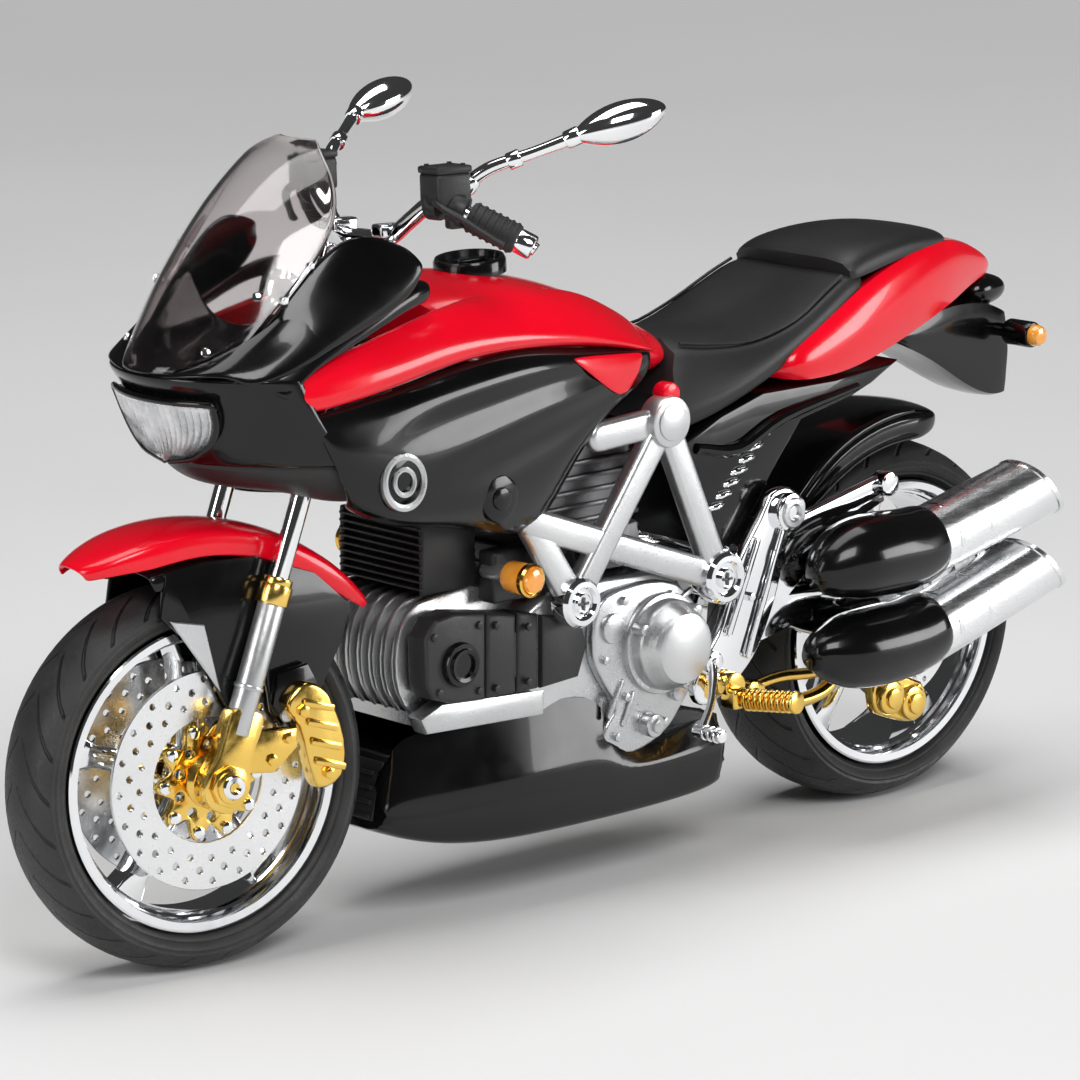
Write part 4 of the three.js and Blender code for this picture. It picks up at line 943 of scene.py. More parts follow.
pan = {"stations": [
    [(-21.0, 0, 18.6), (-21.0, 8, 18.8), (-20.8, 10.2, 18.9), (-21.3, 11.5, 15.2), (-21.4, 11.2, 12.6),
     (-21.2, 10.6, 10.2), (-20.4, 9.2, 8.9), (-20.2, 0, 8.7)],
    [(-17, 0, 18.6), (-17, 8, 18.6), (-17, 10.8, 18.8), (-17.4, 12.5, 15.0), (-17.4, 11.9, 12.2),
     (-17.4, 11.0, 9.4), (-17.2, 9.6, 8.5), (-17, 0, 8.4)],
    [(-9, 0, 16), (-9, 10, 16), (-9, 11.9, 17.0), (-9, 13.3, 15.0), (-9, 12.3, 12.0), (-9, 11.3, 9.2),
     (-9, 10, 8.4), (-9, 0, 8.4)],
    [(-1.4, 0, 15.8), (-1.4, 10.8, 15.8), (-1.4, 12.1, 17.6), (-1.4, 13.6, 15.0), (-1.4, 12.4, 12.0),
     (-1.4, 11.4, 9.2), (-1.4, 10, 8.4), (-1.4, 0, 8.4)],
    [(1.4, 0, 15.8), (1.4, 11.0, 15.8), (1.2, 11.5, 25.4), (1.4, 13.6, 15.2), (1.4, 12.4, 12.0),
     (1.4, 11.3, 9.2), (1.4, 10, 8.4), (1.4, 0, 8.4)],
    [(9, 0, 16), (9, 11.0, 16), (9, 11.2, 25.6), (9, 13.5, 15.4), (9, 12.0, 12.1), (9, 11.0, 9.2),
     (9, 9.8, 8.4), (9, 0, 8.4)],
    [(18, 0, 20), (18, 10.2, 20), (18, 10.4, 25.2), (18, 12.8, 15.4), (18, 11.2, 12.2), (18, 10.2, 9.4),
     (18, 9.0, 8.4), (18, 0, 8.4)],
    [(26, 0, 21.5), (26, 9.0, 21.6), (26.4, 9.2, 24.7), (26.4, 11.2, 14.8), (26.2, 9.8, 12.4),
     (26, 9.0, 10.4), (26, 7.8, 9.7), (26, 0, 9.6)],
    [(30.6, 0, 21.8), (30.4, 8.0, 21.9), (30.6, 8.2, 24.2), (31.6, 9.9, 14.8), (31.4, 8.8, 13.2),
     (31.4, 8.0, 12.1), (31.4, 7.0, 11.6), (31.4, 0, 11.5)],
    [(31.4, 0, 20.6), (31.6, 7.2, 20.8), (31.8, 7.5, 22.6), (33.8, 8.9, 15.0), (34.0, 8.0, 13.8),
     (34.0, 7.2, 13.2), (34.0, 6.3, 12.8), (34.0, 0, 12.7)],
]}
pillow("pan_shell", pan["stations"], "chassis", "gloss_black", "belly_pan",
       creased=((2, 1.0), (12, 1.0), (3, 0.85), (11, 0.85), (5, 0.4), (9, 0.4)),
       creasedRings=((9, 0.8), (0, 0.4)))
slats = [block((0.5, 11.5 - 0.4 * k, 0.5), (34.0 - 0.42 * k, 0, 14.4 + 1.7 * k), 0.15, 2) for k in range(4)]
slats.append(block((0.3, 12.4, 7.2), (32.9, 0, 17.4), 0.1, 1, Matrix.Rotation(math.radians(-16), 4, "Y")))
place("pan_scoop", merged(*slats), "chassis", "matt_black", (), "bike", 30)

cap = spun([(0.01, 1.0), (2.2, 1.0), (2.5, 1.25), (2.9, 1.3), (3.1, 1.05), (3.5, 1.1), (3.8, 1.9),
            (4.2, 1.95), (4.45, 1.5), (4.45, 0.0), (0.01, 0.0)], 56)
cap.transform(Matrix.Translation((12.2, 0, 77.35)) @ Matrix.Rotation(math.radians(5), 4, "Y")
              @ Matrix.Rotation(math.radians(90), 4, "X"))
bmesh.ops.recalc_face_normals(cap, faces=cap.faces)
place("filler_ring", merged(cap, block((4.6, 0.9, 0.8), (12.2, 0, 78.7), 0.25)), "chassis", "gloss_black",
      "filler_cap", "bike", 30)

hugger = {"centre": (bike["rearX"], bike["rearZ"]), "angles": [36, 40, 48, 58, 68, 78, 88, 96, 102, 105],
          "ribs": [(44, 92, 28.4), (46, 96, 27.3)]}       # each from, to and reach


def huggerShape(angle):
    tip = min(1.0, (angle - 35) / 14, (106 - angle) / 8)
    return 8.3 * (0.72 + 0.28 * tip ** 0.5), 29.0, 2.0 + 1.8 * tip, 0.8


place("hugger_shell", facing(sheet(fenderRows(hugger["centre"], hugger["angles"], huggerShape)),
                             (0, 0, 1)), "swing",
      "gloss_black", "hugger", "bike", 60, 2, 0.7)
ribs = []
for low, high, reach in hugger["ribs"]:
    pts = [(bike["rearX"] + reach * math.cos(math.radians(a)), 8.2,
            bike["rearZ"] + reach * math.sin(math.radians(a)))
           for a in range(low, high + 1, 8)]
    rib = tube(pts, [0.25] + [0.55] * (len(pts) - 2) + [0.25], 10, 2)
    ribs += [flipped(rib.copy()), rib]
place("hugger_ribs", merged(*ribs), "swing", "gloss_black", (), "bike", 60)
innerFender = {"outline": [(-11.6, 54), (-19.6, 57.2), (-27, 59.2), (-40, 59.2), (-52, 60.2), (-47, 57.8),
                           (-43.2, 56.5), (-34, 54.6), (-30, 50), (-26, 44.6), (-20.8, 39.4),
                           (-17.6, 40.8), (-14.5, 48)],
               "ridge": [(-15, 11.5, 53.6), (-22, 11.6, 52.6), (-30, 11.6, 55.6), (-44, 11.4, 57.8)],
               "sizes": [0.7, 0.9, 0.9, 0.5]}
ridges = [tube([(x, s * y, z) for x, y, z in innerFender["ridge"]], innerFender["sizes"], 10,
               4) for s in (1, -1)]
place("inner_fender_body", merged(slab(innerFender["outline"], -11.4, 11.4, 0.6, 3), *ridges),
      "chassis", "gloss_black", "inner_fender", "bike", 30)
plate = {"blade": [
    [(-56.6, 0, 62.6), (-56.6, 5.6, 62.6), (-56.8, 6.4, 61.8), (-57, 5.6, 61.2), (-57, 0, 61.2)],
    [(-64, 0, 64.2), (-64, 5.4, 64.0), (-64.4, 6.0, 61), (-65.2, 5.0, 57.8), (-65.4, 0, 57.6)],
    [(-71, 0, 65), (-71, 4.8, 64.8), (-71.6, 5.2, 60), (-72.4, 4.2, 53.2), (-72.6, 0, 52.8)],
    [(-77, 0, 64.4), (-77, 4.4, 64.0), (-77.6, 4.8, 58.5), (-78, 4.0, 50.9), (-78, 0, 50.5)],
    [(-80.4, 0, 62.8), (-80.4, 4.0, 62.4), (-80.9, 4.4, 57.5), (-80.9, 3.8, 51.2), (-80.8, 0, 50.8)],
]}
pillow("plate_blade", plate["blade"], "chassis", "gloss_black", "plate_holder", rounds=2,
       creased=((1, 0.5), (3, 0.5), (5, 0.5), (7, 0.5)), creasedRings=((4, 0.6), (0, 0.4)))
rearLampAt = (-78.4, 60.2)
stalks = [across(1.75, *rearLampAt, s * 6.4, s * 10.9, 24, 0.4) for s in (1, -1)]
place("rear_lamp_stalks", merged(across(0.9, *rearLampAt, -9, 9, 16), *stalks), "chassis", "gloss_black",
      (), "bike", 30)
looks["amber_lens"] = finishOf("amber_lens", (0.78, 0.25, 0.02), (0.95, 0.42, 0.06), 0.15, coat=1.0,
                               grain=900,
                               spread=0.05, depth=0.004, patch=300)
place("rear_lamp_lenses", merged(*[across(1.6, *rearLampAt, s * 10.7, s * 12.3, 24, 0.5, end=1.2)
                                   for s in (1, -1)]), "chassis", "amber_lens", (), "bike", 30)
tailLamp = [
    [(-73.8, 0, 66.6), (-73.8, 3.6, 66.6), (-74, 4.4, 65.4), (-74.4, 3.6, 63), (-74.4, 0, 62.8)],
    [(-78, 0, 67.6), (-78, 3.2, 67.5), (-78.2, 4.4, 65.8), (-78.2, 3.4, 63.0), (-78, 0, 62.6)],
    [(-81.4, 0, 67.0), (-81.4, 2.4, 66.9), (-81.6, 3.4, 65.4), (-81.4, 2.6, 63.6), (-81.2, 0, 63.2)],
    [(-82.4, 0, 65.9), (-82.4, 1.4, 65.8), (-82.5, 1.8, 65.2), (-82.4, 1.4, 64.4), (-82.3, 0, 64.2)],
]
pillow("tail_lamp_body", tailLamp, "chassis", "gloss_black", "tail_light")
print("bodywork done")


# Frame
bosses = {"top": (-7.4, 58.4), "rear": (-16.9, 37.4), "low": (7.7, 38.1), "high": (15.0, 48.9),
          "stub": (3.6, 57.8)}
members = (("top", "rear"), ("top", "low"), ("rear", "high"), ("low", "high"), ("top", "stub"))
# each bar is a little thinner than the last, so that no two share a face
bars = [slab(capsule(bosses[a], bosses[b], 1.85), 12.25 + 0.03 * k, 14.6 - 0.09 * k, 0.75, 4)
        for k, (a, b) in enumerate(members)]
bars += [across(3.2, *bosses["top"], 12.2, 15.1, 40, 0.35), across(2.3, *bosses["top"], 15.0, 15.35, 32,
                                                                   0.15)]
placeBoth("frame_truss", merged(*bars), "chassis", "satin_metal", "frame", angle=40)
bolts = []
slot_shade = []
for key, size in (("rear", 3.1), ("low", 2.9)):
    x, z = bosses[key]
    ring = spun([(0.01, 12.6), (size, 12.6), (size + 0.25, 13.4), (size + 0.2, 14.9), (size - 0.2, 15.4),
                 (size - 0.8, 15.45), (size - 1.1, 15.1), (size - 1.15, 14.8), (0.01, 14.8)], 44)
    head = spun([(0.01, 15.25), (0.5, 15.25), (1.1, 15.35), (1.3, 15.15), (1.3, 14.7), (0.01, 14.7)], 30)
    bolts += [atPoint(ring, x, z), atPoint(head, x, z)]
    # dark blocks on the screw heads: painted shade of the recessed cross slots
    slot_shade += [block(cut, (x, 15.34, z), 0.06, 1) for cut in ((1.6, 0.3, 0.36), (0.36, 0.3, 1.6))]
placeBoth("frame_slot_shade", merged(*slot_shade), "chassis", "dark_steel")
placeBoth("frame_bolts", merged(*bolts), "chassis", "chrome")
placeBoth("frame_knob", across(1.5, -8.2, 61.6, 12.0, 14.2, 24, 0.4), "chassis", "red_paint")


def onHeadAxis(height):
    return (steerPoint.x - height * math.tan(rake), 0, steerPoint.z + height)


headTube = [rod(3.0, onHeadAxis(low), onHeadAxis(high), 40, 0.3)
            for low, high in ((38.6, 41), (41.3, 47.1), (47.4, 49.8))]
place("steering_head_tube", merged(*headTube, block((9.4, 6, 5.4), (31.9, 0, 65.4), 0.6)), "chassis",
      "satin_metal", "steering_head", "bike", 30)

# Engine
crank = {"outline": [(9, 39.4), (-11, 39.4), (-15.6, 33), (-14, 22), (-8, 17.4), (6, 17.4), (10, 22),
                     (13, 27), (13.2, 37)],
         "side": [(2.6, 36.6), (-3, 38.2), (-10.6, 37.4), (-15.0, 32.4), (-14.6, 26), (-11.6, 21.4),
                  (-8.6, 18.6), (-3.4, 17.0), (0.8, 18.0), (1.6, 20.6), (-0.4, 23.4), (1.6, 26.6),
                  (3.4, 30.4)],
         "screws": [(1.8, 29.6), (-1.4, 36.6), (-9.4, 36.2), (-13.8, 32), (-13.4, 26.4), (-0.2, 19.6),
                    (-8.4, 20.2), (-1.8, 24.4)],
         "webs": [((-1.2, 26.4), (1.0, 22.4)), ((-3.0, 24.6), (-1.4, 21.0)), ((-10.6, 35.0), (-13.0, 36.2)),
                  ((-13.2, 29.4), (-14.2, 27.6))],
         "cover": (-7.9, 30.3), "boss": (-5.7, 20.3)}
case = merged(slab(smoothLoop(crank["side"], 3), 11.1, 12.6, 0.4, 3),
              across(6.4, *crank["cover"], 12.4, 13.5, 48, 0.35),
              across(1.5, *crank["boss"], 12.4, 14.3, 28, 0.25),
              across(0.9, *crank["boss"], 14.2, 14.8, 6, 0.12),
              across(1.1, -10.6, 23.6, 12.4, 13.4, 20, 0.2), across(1.9, 0.4, 33.4, 12.4, 13.2, 24, 0.25),
              *[across(0.55, x, z, 12.4, 13.3, 6, 0.1) for x, z in crank["screws"]],
              *[slab(capsule(a, b, 0.35), 12.4, 13.0, 0.2, 2) for a, b in crank["webs"]])
crankcase = merged(slab(crank["outline"], -11.2, 11.2, 0.8, 3), flipped(case), case)
place("crankcase", crankcase, "chassis", "satin_metal", "engine_block", "bike", 36)
dome = spun([(0.01, 17.55), (3.7, 17.5), (4.35, 17.25), (4.6, 16.8), (4.75, 16.6), (5.1, 15.6),
             (5.45, 15.2), (5.7, 14.7), (5.75, 13.2), (0.01, 13.2)], 64)
lugs = [across(0.75, 5.6 * math.cos(a), 5.6 * math.sin(a), 13.3, 15.2, 18, 0.2) for a in (0.5, 2.4, 4.3)]
place("alternator_dome", atPoint(merged(dome, *lugs), *crank["cover"]), "chassis", "satin_metal",
      "alternator_cover", "bike", 30)

cylinder = {"fins": 8, "outline": [(14, 39.4), (25, 40.4), (29.4, 39.0), (31.2, 35.6), (31.4, 31.4),
                                   (30.0, 27.8), (26.6, 25.8), (14, 25.6)],
            "core": [(12, 38.2), (24.6, 39.0), (28.4, 37.8), (29.9, 35), (30.0, 31.6), (28.8, 28.8),
                     (26.2, 27), (12, 26.8)],
            "rail": [(10.5, 24.0), (29.5, 24.8), (30.6, 26.8), (27.0, 28.2), (10.5, 27.2)],
            "floor": [(10.5, 24.4), (29.0, 25.2), (29.0, 26.8), (10.5, 26.4)],
            "first": -7.9, "pitch": 2.12, "thick": 0.95}
fins = []
for k in range(cylinder["fins"]):
    y = cylinder["first"] + cylinder["pitch"] * k
    fins.append(slab(smoothLoop(cylinder["outline"], 2), y, y + cylinder["thick"], 0.3, 2))
rail = slab(cylinder["rail"], 8.6, 11.4, 0.4, 2)
fins += [slab(cylinder["core"], -7.6, 7.6, 0.5, 2), flipped(rail), rail,
         slab(cylinder["floor"], -8.8, 8.8, 0.2, 1)]
place("front_barrel", merged(*fins), "chassis", "satin_metal", "front_cylinder", "bike", 30)

timing = {"panels": [
    [(30.4, 31.0), (30.6, 36.8), (28.9, 38.9), (26.0, 39.3), (21.0, 38.5), (21.0, 27.8), (26.2, 28.2),
     (29.4, 29.2)],
    [(20.7, 38.4), (15.8, 37.6), (15.8, 27.7), (20.7, 27.9)],
    [(15.5, 37.7), (11.9, 36.9), (11.9, 27.6), (15.5, 27.6)]],
    "backing": [(30, 32), (30, 36), (12, 35), (12, 29)],
    "tail": [(11.5, 36.7), (5.0, 35.4), (4.0, 31.6), (5.4, 28.0), (11.5, 27.6)],
    "screws": [(29.4, 36.9), (28.6, 30.0), (22.2, 37.3), (22.2, 29.2), (19.4, 36.8), (19.4, 29.0),
               (14.2, 35.8), (14.2, 29.0)],
    "cap": (25.4, 33)}
covers = [slab(p, 8.6, 12.4 - 0.25 * k, 0.6, 3) for k, p in enumerate(timing["panels"])]
covers += [slab(timing["backing"], 8.5, 11.6, 0.1, 1), slab(timing["tail"], 10.6, 12.05, 0.4, 2)]
covers += [across(0.5, x, z, 12.2, 12.75, 6, 0.1) for x, z in timing["screws"]]
place("timing_shell", merged(*covers), "chassis", "matt_black", "timing_cover", "bike", 30)
ringed = spun([(0.01, 13.2), (1.5, 13.2), (1.55, 13.6), (2.0, 13.7), (2.1, 13.3), (2.6, 13.25),
               (2.75, 12.9), (2.75, 12.2), (0.01, 12.2)], 44)
place("timing_cap", atPoint(ringed, *timing["cap"]), "chassis", "gloss_black", (), "bike", 30)
ear = slab([(-6.2, 40.4), (4.8, 40.6), (6.6, 44.8), (-5, 46)], 9.2, 11.6, 0.6, 2)
rearFins = [block((16.2, 18.4, 0.6), (0.6, 0, 43 + 1.8 * k), 0.2, 2) for k in range(7)]
place("rear_barrel", merged(block((15, 17, 16.6), (0.6, 0, 48.4), 0.8), *rearFins, flipped(ear), ear),
      "chassis", "dark_steel", "rear_cylinder", "bike", 30)
core = [block((6.4, 14.6, 8.2), (22.6, 0, 45.1), 0.5)]
core += [block((9.0, 14.9, 0.34), (22.6, 0, 41.4 + 0.92 * k), 0.1, 1) for k in range(9)]
core += [block((8.6, 0.8, 9.0), (22.6, s * 7.2, 45.1), 0.3) for s in (1, -1)]
core += [block((6.8, 3.0, 6.4), (14.8, s * 9.2, 42.0), 0.5) for s in (1, -1)]
core += [tube([(18, s * 8.4, 47.8), (12, s * 10.4, 47.4), (7, s * 10.8, 43.8)], 0.8, 12, 4) for s in (1,
                                                                                                      -1)]
place("cooler_core", merged(*core), "chassis", "matt_black", "oil_cooler", "bike", 30)

indicatorAt = (17.6, 42.7)
placeBoth("indicator_stalk", merged(rod(1.35, (13.6, 11.0, 41.3), (17.2, 12.9, 42.4), 24, 0.3, end=1.15),
                                    across(1.0, *indicatorAt, 8.4, 13.3, 24, 0.15)), "chassis",
                                    "satin_metal")
placeBoth("indicator_lamp", merged(across(1.95, *indicatorAt, 13.0, 16.4, 32, 0.35),
                                   across(1.55, *indicatorAt, 16.3, 17.5, 32, 0.5)), "chassis",
                                   "amber_lens",
          "front_indicator")
rim = spun([(1.5, 16.2), (1.5, 16.8), (1.8, 17.0), (2.05, 16.8), (2.05, 16.2)], 32)
placeBoth("indicator_rim", atPoint(rim, *indicatorAt), "chassis", "gold_plate")
print("frame and engine done")

# Exhaust
pipes = {"upper": {"line": [(-46, 17.2, 36.3), (-71.5, 17.2, 41.9)],
                   "cap": [(-30.8, 17.0, 35.2), (-32.6, 17.1, 36.0), (-36.4, 17.3, 37.0),
                           (-41, 17.4, 37.2), (-46.4, 17.3, 37.0), (-50.2, 17.2, 37.4),
                           (-51.4, 17.2, 37.6)],
                   "sizes": [1.6, 3.4, 5.0, 5.4, 5.3, 4.9, 4.2]},
         "lower": {"line": [(-46, 17.4, 24.4), (-71.9, 17.4, 31.6)],
                   "cap": [(-30.0, 17.2, 25.4), (-32.2, 17.2, 25.6), (-36, 17.3, 25.4), (-41, 17.4, 25.2),
                           (-46.6, 17.4, 25.4), (-50.6, 17.4, 26.2), (-51.8, 17.4, 26.5)],
                   "sizes": [1.6, 3.2, 4.7, 5.2, 5.1, 4.8, 4.1]}}
for name, p in pipes.items():
    a, b = (Vector(v) for v in p["line"])
    along = (b - a).normalized()
    side = Vector((0, 1, 0))
    up = side.cross(along) * -1
    if up.z < 0:
        up = -up
    rings = []
    for t, size in ((0.02, 4.3), (0.3, 4.35), (0.6, 4.35), (0.9, 4.3), (0.965, 4.3), (0.97, 4.45),
                    (1.0, 4.4), (1.0, 3.7), (0.95, 3.5)):
        row = []
        for k in range(40):
            c, v = math.cos(2 * math.pi * k / 40), math.sin(2 * math.pi * k / 40)
            flat = (abs(c) ** 0.85) * (1 if c > 0 else -1), (abs(v) ** 0.85) * (1 if v > 0 else -1)
            lean = 2.4 * flat[1] * t
            row.append(a + along * ((b - a).length * t - lean) + side * flat[0] * size + up * flat[1] * size)
        rings.append(row)
    place("muffler_can_" + name, loft(rings, True), "chassis", "brushed", "muffler_" + name, "bike", 30, 0)
    # a dark disc inside the can's open end: painted shade of the outlet's depth
    inside = a + along * (b - a).length * 0.93
    place("muffler_outlet_shade_" + name, rod(3.3, inside, inside + along * 1.0, 32), "chassis", "dark_steel", (),
          "bike", 30)
    band = rod(4.46, a + along * 7.2, a + along * 7.9, 40, 0.15)
    strap = rod(4.42, a + along * 13.0, a + along * 13.25, 40, 0.05)
    place("muffler_band_" + name, merged(band, strap), "chassis", "chrome", (), "bike", 30)
    place("muffler_cap_" + name, tube(p["cap"], p["sizes"], 32, 4), "chassis", "gloss_black", (), "bike",
          70)

# Hangers, pegs, shift lever and stand
hanger = {"web": [(-20.6, 38.6), (-24.4, 43.8), (-26.4, 46.6), (-29.6, 47.0), (-31.8, 45.0),
                  (-31.6, 42.2), (-29.4, 39.4), (-27.4, 33.2), (-24.4, 27.2), (-21, 23.8), (-16.6, 21.4),
                  (-13.8, 21.6), (-13.0, 24.4), (-15.4, 28), (-17.8, 31.2)],
          "fork": [(-27, 43), (-47, 44.6), (-47.4, 42.6), (-38, 39.4), (-30.5, 33.2), (-38.4, 32.8),
                   (-38.8, 30.4), (-25, 27.8), (-22, 34)],
          "eye": (-28.9, 44.0)}


def hangerPlate():
    return merged(slab(smoothLoop(hanger["web"], 3), 12.2, 13.6, 0.4, 3),
                  slab(capsule((-30, 41.4), (-47.4, 45.0), 1.35), 12.3, 13.6, 0.45, 3),
                  slab(hanger["fork"], 12.4, 13.4, 0.35, 2),
                  slab(capsule((-23.4, 41.0), (-18.6, 30.0), 0.5), 13.4, 14.3, 0.3, 2),
                  slab(capsule((-28.0, 42.0), (-22.0, 26.6), 0.5), 13.4, 14.3, 0.3, 2),
                  across(2.5, *hanger["eye"], 13.2, 14.9, 36, 0.35),
                  across(1.6, -47.2, 45.0, 12.2, 14.6, 28, 0.3),
                  across(1.3, -38.6, 31.6, 12.3, 14.4, 24, 0.3),
                  across(0.7, -16.2, 24.6, 13.4, 14.5, 6, 0.12),
                  across(0.6, -22.4, 34.0, 13.4, 14.4, 6, 0.12))


# the brake pedal is on the right only
pedal = merged(across(1.5, -15.6, 27, 13.4, 15.5, 28, 0.25),
               tube([(-15.6, 14.9, 27), (-12, 17.6, 23.4), (-6.8, 19.8, 20.6)], [0.95, 0.7, 0.8], 16, 6,
                    0.7),
               block((3.2, 3.0, 1.2), (-6.4, 19.8, 20.6), 0.35))
place("hanger_plate_left", hangerPlate(), "chassis", "chrome", "peg_hanger_left", "bike", 32)
place("hanger_plate_right", flipped(merged(hangerPlate(), pedal)), "chassis", "chrome", "peg_hanger_right",
      "bike", 32)
eye = spun([(0.9, 13.6), (0.9, 15.1), (1.2, 15.3), (1.8, 15.25), (2.0, 14.9), (2.0, 13.6)], 32)
placeBoth("hanger_eye", atPoint(eye, *hanger["eye"]), "chassis", "satin_metal")
peg = {"root": Vector((-18.6, 14.6, 21.6)), "tip": Vector((-20.1, 24.4, 22.7)), "ribs": 8}
reach = peg["tip"] - peg["root"]
pegParts = [rod(1.05, peg["root"], peg["tip"], 24, 0.2),
            rod(1.45, peg["tip"] - reach * 0.05, peg["tip"] + reach * 0.02, 24, 0.2)]
for k in range(peg["ribs"]):
    t = 0.24 + 0.088 * k
    pegParts.append(rod(1.42, peg["root"] + reach * t, peg["root"] + reach * (t + 0.045), 24, 0.08))
pegParts += [across(1.75, -18.4, 23.4, 13.8, 15.5, 28, 0.25), block((2.6, 2.8, 2.6), (-18.2, 15.4, 22.0),
                                                                    0.5)]
placeBoth("peg_ribbed", merged(*pegParts), "chassis", "gold_plate", "foot_peg")
lever = {"pivot": (-14.6, 27), "toe": (-8.2, 20.2),
         "line": [(-14.6, 15, 27), (-13.6, 16.2, 25.2), (-11.4, 18, 22.8), (-8.4, 19.6, 20.4)],
         "sizes": [1.0, 0.75, 0.7, 0.8]}
shift = merged(across(1.5, *lever["pivot"], 13.9, 15.6, 28, 0.25),
               across(0.7, *lever["pivot"], 15.5, 16.0, 6, 0.1),
               tube(lever["line"], lever["sizes"], 16, 5, 0.7),
               across(0.85, *lever["toe"], 18.6, 23.4, 24, 0.25),
               *[across(0.98, *lever["toe"], 20.2 + k, 20.6 + k, 24, 0.08) for k in range(3)])
place("shift_arm", shift, "chassis", "chrome", "shift_lever", "bike", 30)
stand = {"pivot": (-25.6, 20.4),
         "leg": [(-25.6, 10.9, 20.4), (-28.4, 10.9, 18.8), (-33, 10.9, 18.0), (-38.4, 11, 18.5),
                 (-42.6, 11, 21.0)],
         "legSizes": [1.15, 1.05, 0.95, 0.95, 0.8],
         "brace": [(-26.4, 10.9, 21.4), (-31, 10.9, 21.8), (-36.6, 10.9, 21.3), (-41.6, 11, 21.4)],
         "braceSizes": [0.7, 0.75, 0.75, 0.6], "foot": (-42.3, 21.2)}
standLeg = merged(tube(stand["leg"], stand["legSizes"], 20, 6), tube(stand["brace"], stand["braceSizes"],
                                                                     16, 6),
                  across(1.9, *stand["pivot"], 9.9, 11.9, 32, 0.3),
                  across(1.0, *stand["pivot"], 11.8, 12.5, 6, 0.15),
                  across(1.0, *stand["foot"], 10.2, 11.9, 20, 0.3))
place("stand_leg", standLeg, "stand", "gold_plate", "side_stand", "bike", 40)

# Swingarm, rear axle and rear brake
arm = {"outline": [(-15.4, 39.2), (-19, 40.4), (-24, 39.8), (-44, 33.2), (-56, 28.2), (-59.6, 26),
                   (-60.6, 23.4), (-58.6, 21.2), (-52, 21.6), (-34, 27.2), (-22, 32.6), (-16.6, 35)]}
rearCentre = (bike["rearX"], bike["rearZ"])
armSide = merged(slab(smoothLoop(arm["outline"], 2), 9, 11.6, 0.7, 4),
                 across(1.9, *rearCentre, 11.4, 12.2, 28, 0.2))
place("swingarm_body", merged(flipped(armSide), armSide, block((7, 18.4, 4.6), (-24.9, 0, 35.2), 0.6)),
      "swing",
      "chrome", "swingarm", "bike", 40)
nut = across(1.5, *rearCentre, 12.1, 12.9, 6, 0.15)
place("rear_axle_nuts", merged(across(1.0, *rearCentre, -12.2, 12.2, 24), flipped(nut), nut), "swing",
      "satin_metal", "rear_axle", "bike", 30)
rearCaliper = {"pistons": [(-52.4, 15.2), (-56.6, 13.8)], "screws": [(-51.2, 17.2), (-57.8, 15.6)],
               "outline": [(-50.4, 18.2), (-50, 14), (-52.4, 12.4), (-57.6, 11.0), (-59.2, 12.6),
                           (-58.8, 16.2)]}
rearCaliperParts = [slab(smoothLoop(rearCaliper["outline"], 3), 8.0, 9.8, 0.4, 3)]
for spot in rearCaliper["pistons"]:
    rearCaliperParts += [across(2.3, *spot, 8.0, 10.8, 36, 0.4), across(1.4, *spot, 10.7, 11.3, 28, 0.2)]
rearCaliperParts += [across(0.5, *spot, 9.6, 10.4, 6, 0.1) for spot in rearCaliper["screws"]]
place("rear_caliper_body", merged(*rearCaliperParts), "swing", "gold_plate", "rear_caliper", "bike", 30)
helix = [(-18.4 - 0.16 * k + 1.5 * math.cos(k * 0.75), 10.2 + 1.5 * math.sin(k * 0.75), 45.4 + 0.16 * k)
         for k in range(64)]
place("shock_spring", merged(tube(helix, 0.4, 8, 1), rod(0.9, (-18.2, 10.2, 44.6), (-28.6, 10.2, 56.2),
                                                         16)),
      "chassis", "chrome", (), "bike", 50)

# Handlebar, grips, controls and mirrors
grip = {"inner": Vector((25.4, 16.6, 86.8)), "outer": Vector((21.6, 20.7, 83.9)),
        "rings": (0.06, 0.2, 0.34, 0.48, 0.62, 0.76, 0.88)}
reach = grip["outer"] - grip["inner"]
sleeve = [rod(1.78, grip["inner"], grip["outer"], 28, 0.3)]
for t in grip["rings"]:
    sleeve.append(rod(1.92, grip["inner"] + reach * t, grip["inner"] + reach * (t + 0.05), 28, 0.06))
placeBoth("grip_sleeve", merged(*sleeve), "steering", "grip_rubber", "grip", "steer")
placeBoth("bar_end", merged(rod(1.5, (21.7, 20.6, 84.0), (20.3, 22.1, 82.9), 28, 0.35),
                            rod(0.8, (20.4, 22.0, 83.0), (20.15, 22.3, 82.7), 20, 0.1)), "steering",
                            "chrome", "",
          "steer")
controls = [
    block((4.7, 4.2, 3.9), (27.0, 14.2, 89.9), 0.45, 3),
    block((4.9, 4.4, 0.9), (27.0, 14.2, 92.2), 0.3, 2),
    rod(1.95, (27.9, 12.2, 88.2), (27.2, 13.8, 88.1), 28, 0.2),
    rod(1.85, (26.9, 15.0, 88.0), (25.7, 16.3, 87.1), 28, 0.25),
    block((2.2, 1.6, 2.2), (26.6, 15.4, 86.4), 0.4),
    *[rod(0.3, (27.0 + dx, 14.2 + dy, 92.5), (27.0 + dx, 14.2 + dy, 92.85), 10)
      for dx in (-1.6, 1.6) for dy in (-1.4, 1.4)],
    tube([(28.6, 14.6, 88.6), (29.2, 16.2, 88.2), (28.2, 18.6, 86.9), (25.9, 21.3, 84.7),
          (24.8, 22.4, 83.7)],
         [0.75, 0.6, 0.55, 0.5, 0.62], 14, 5, 0.7)]
placeBoth("control_box", merged(*controls), "steering", "matt_black", "control", "steer")
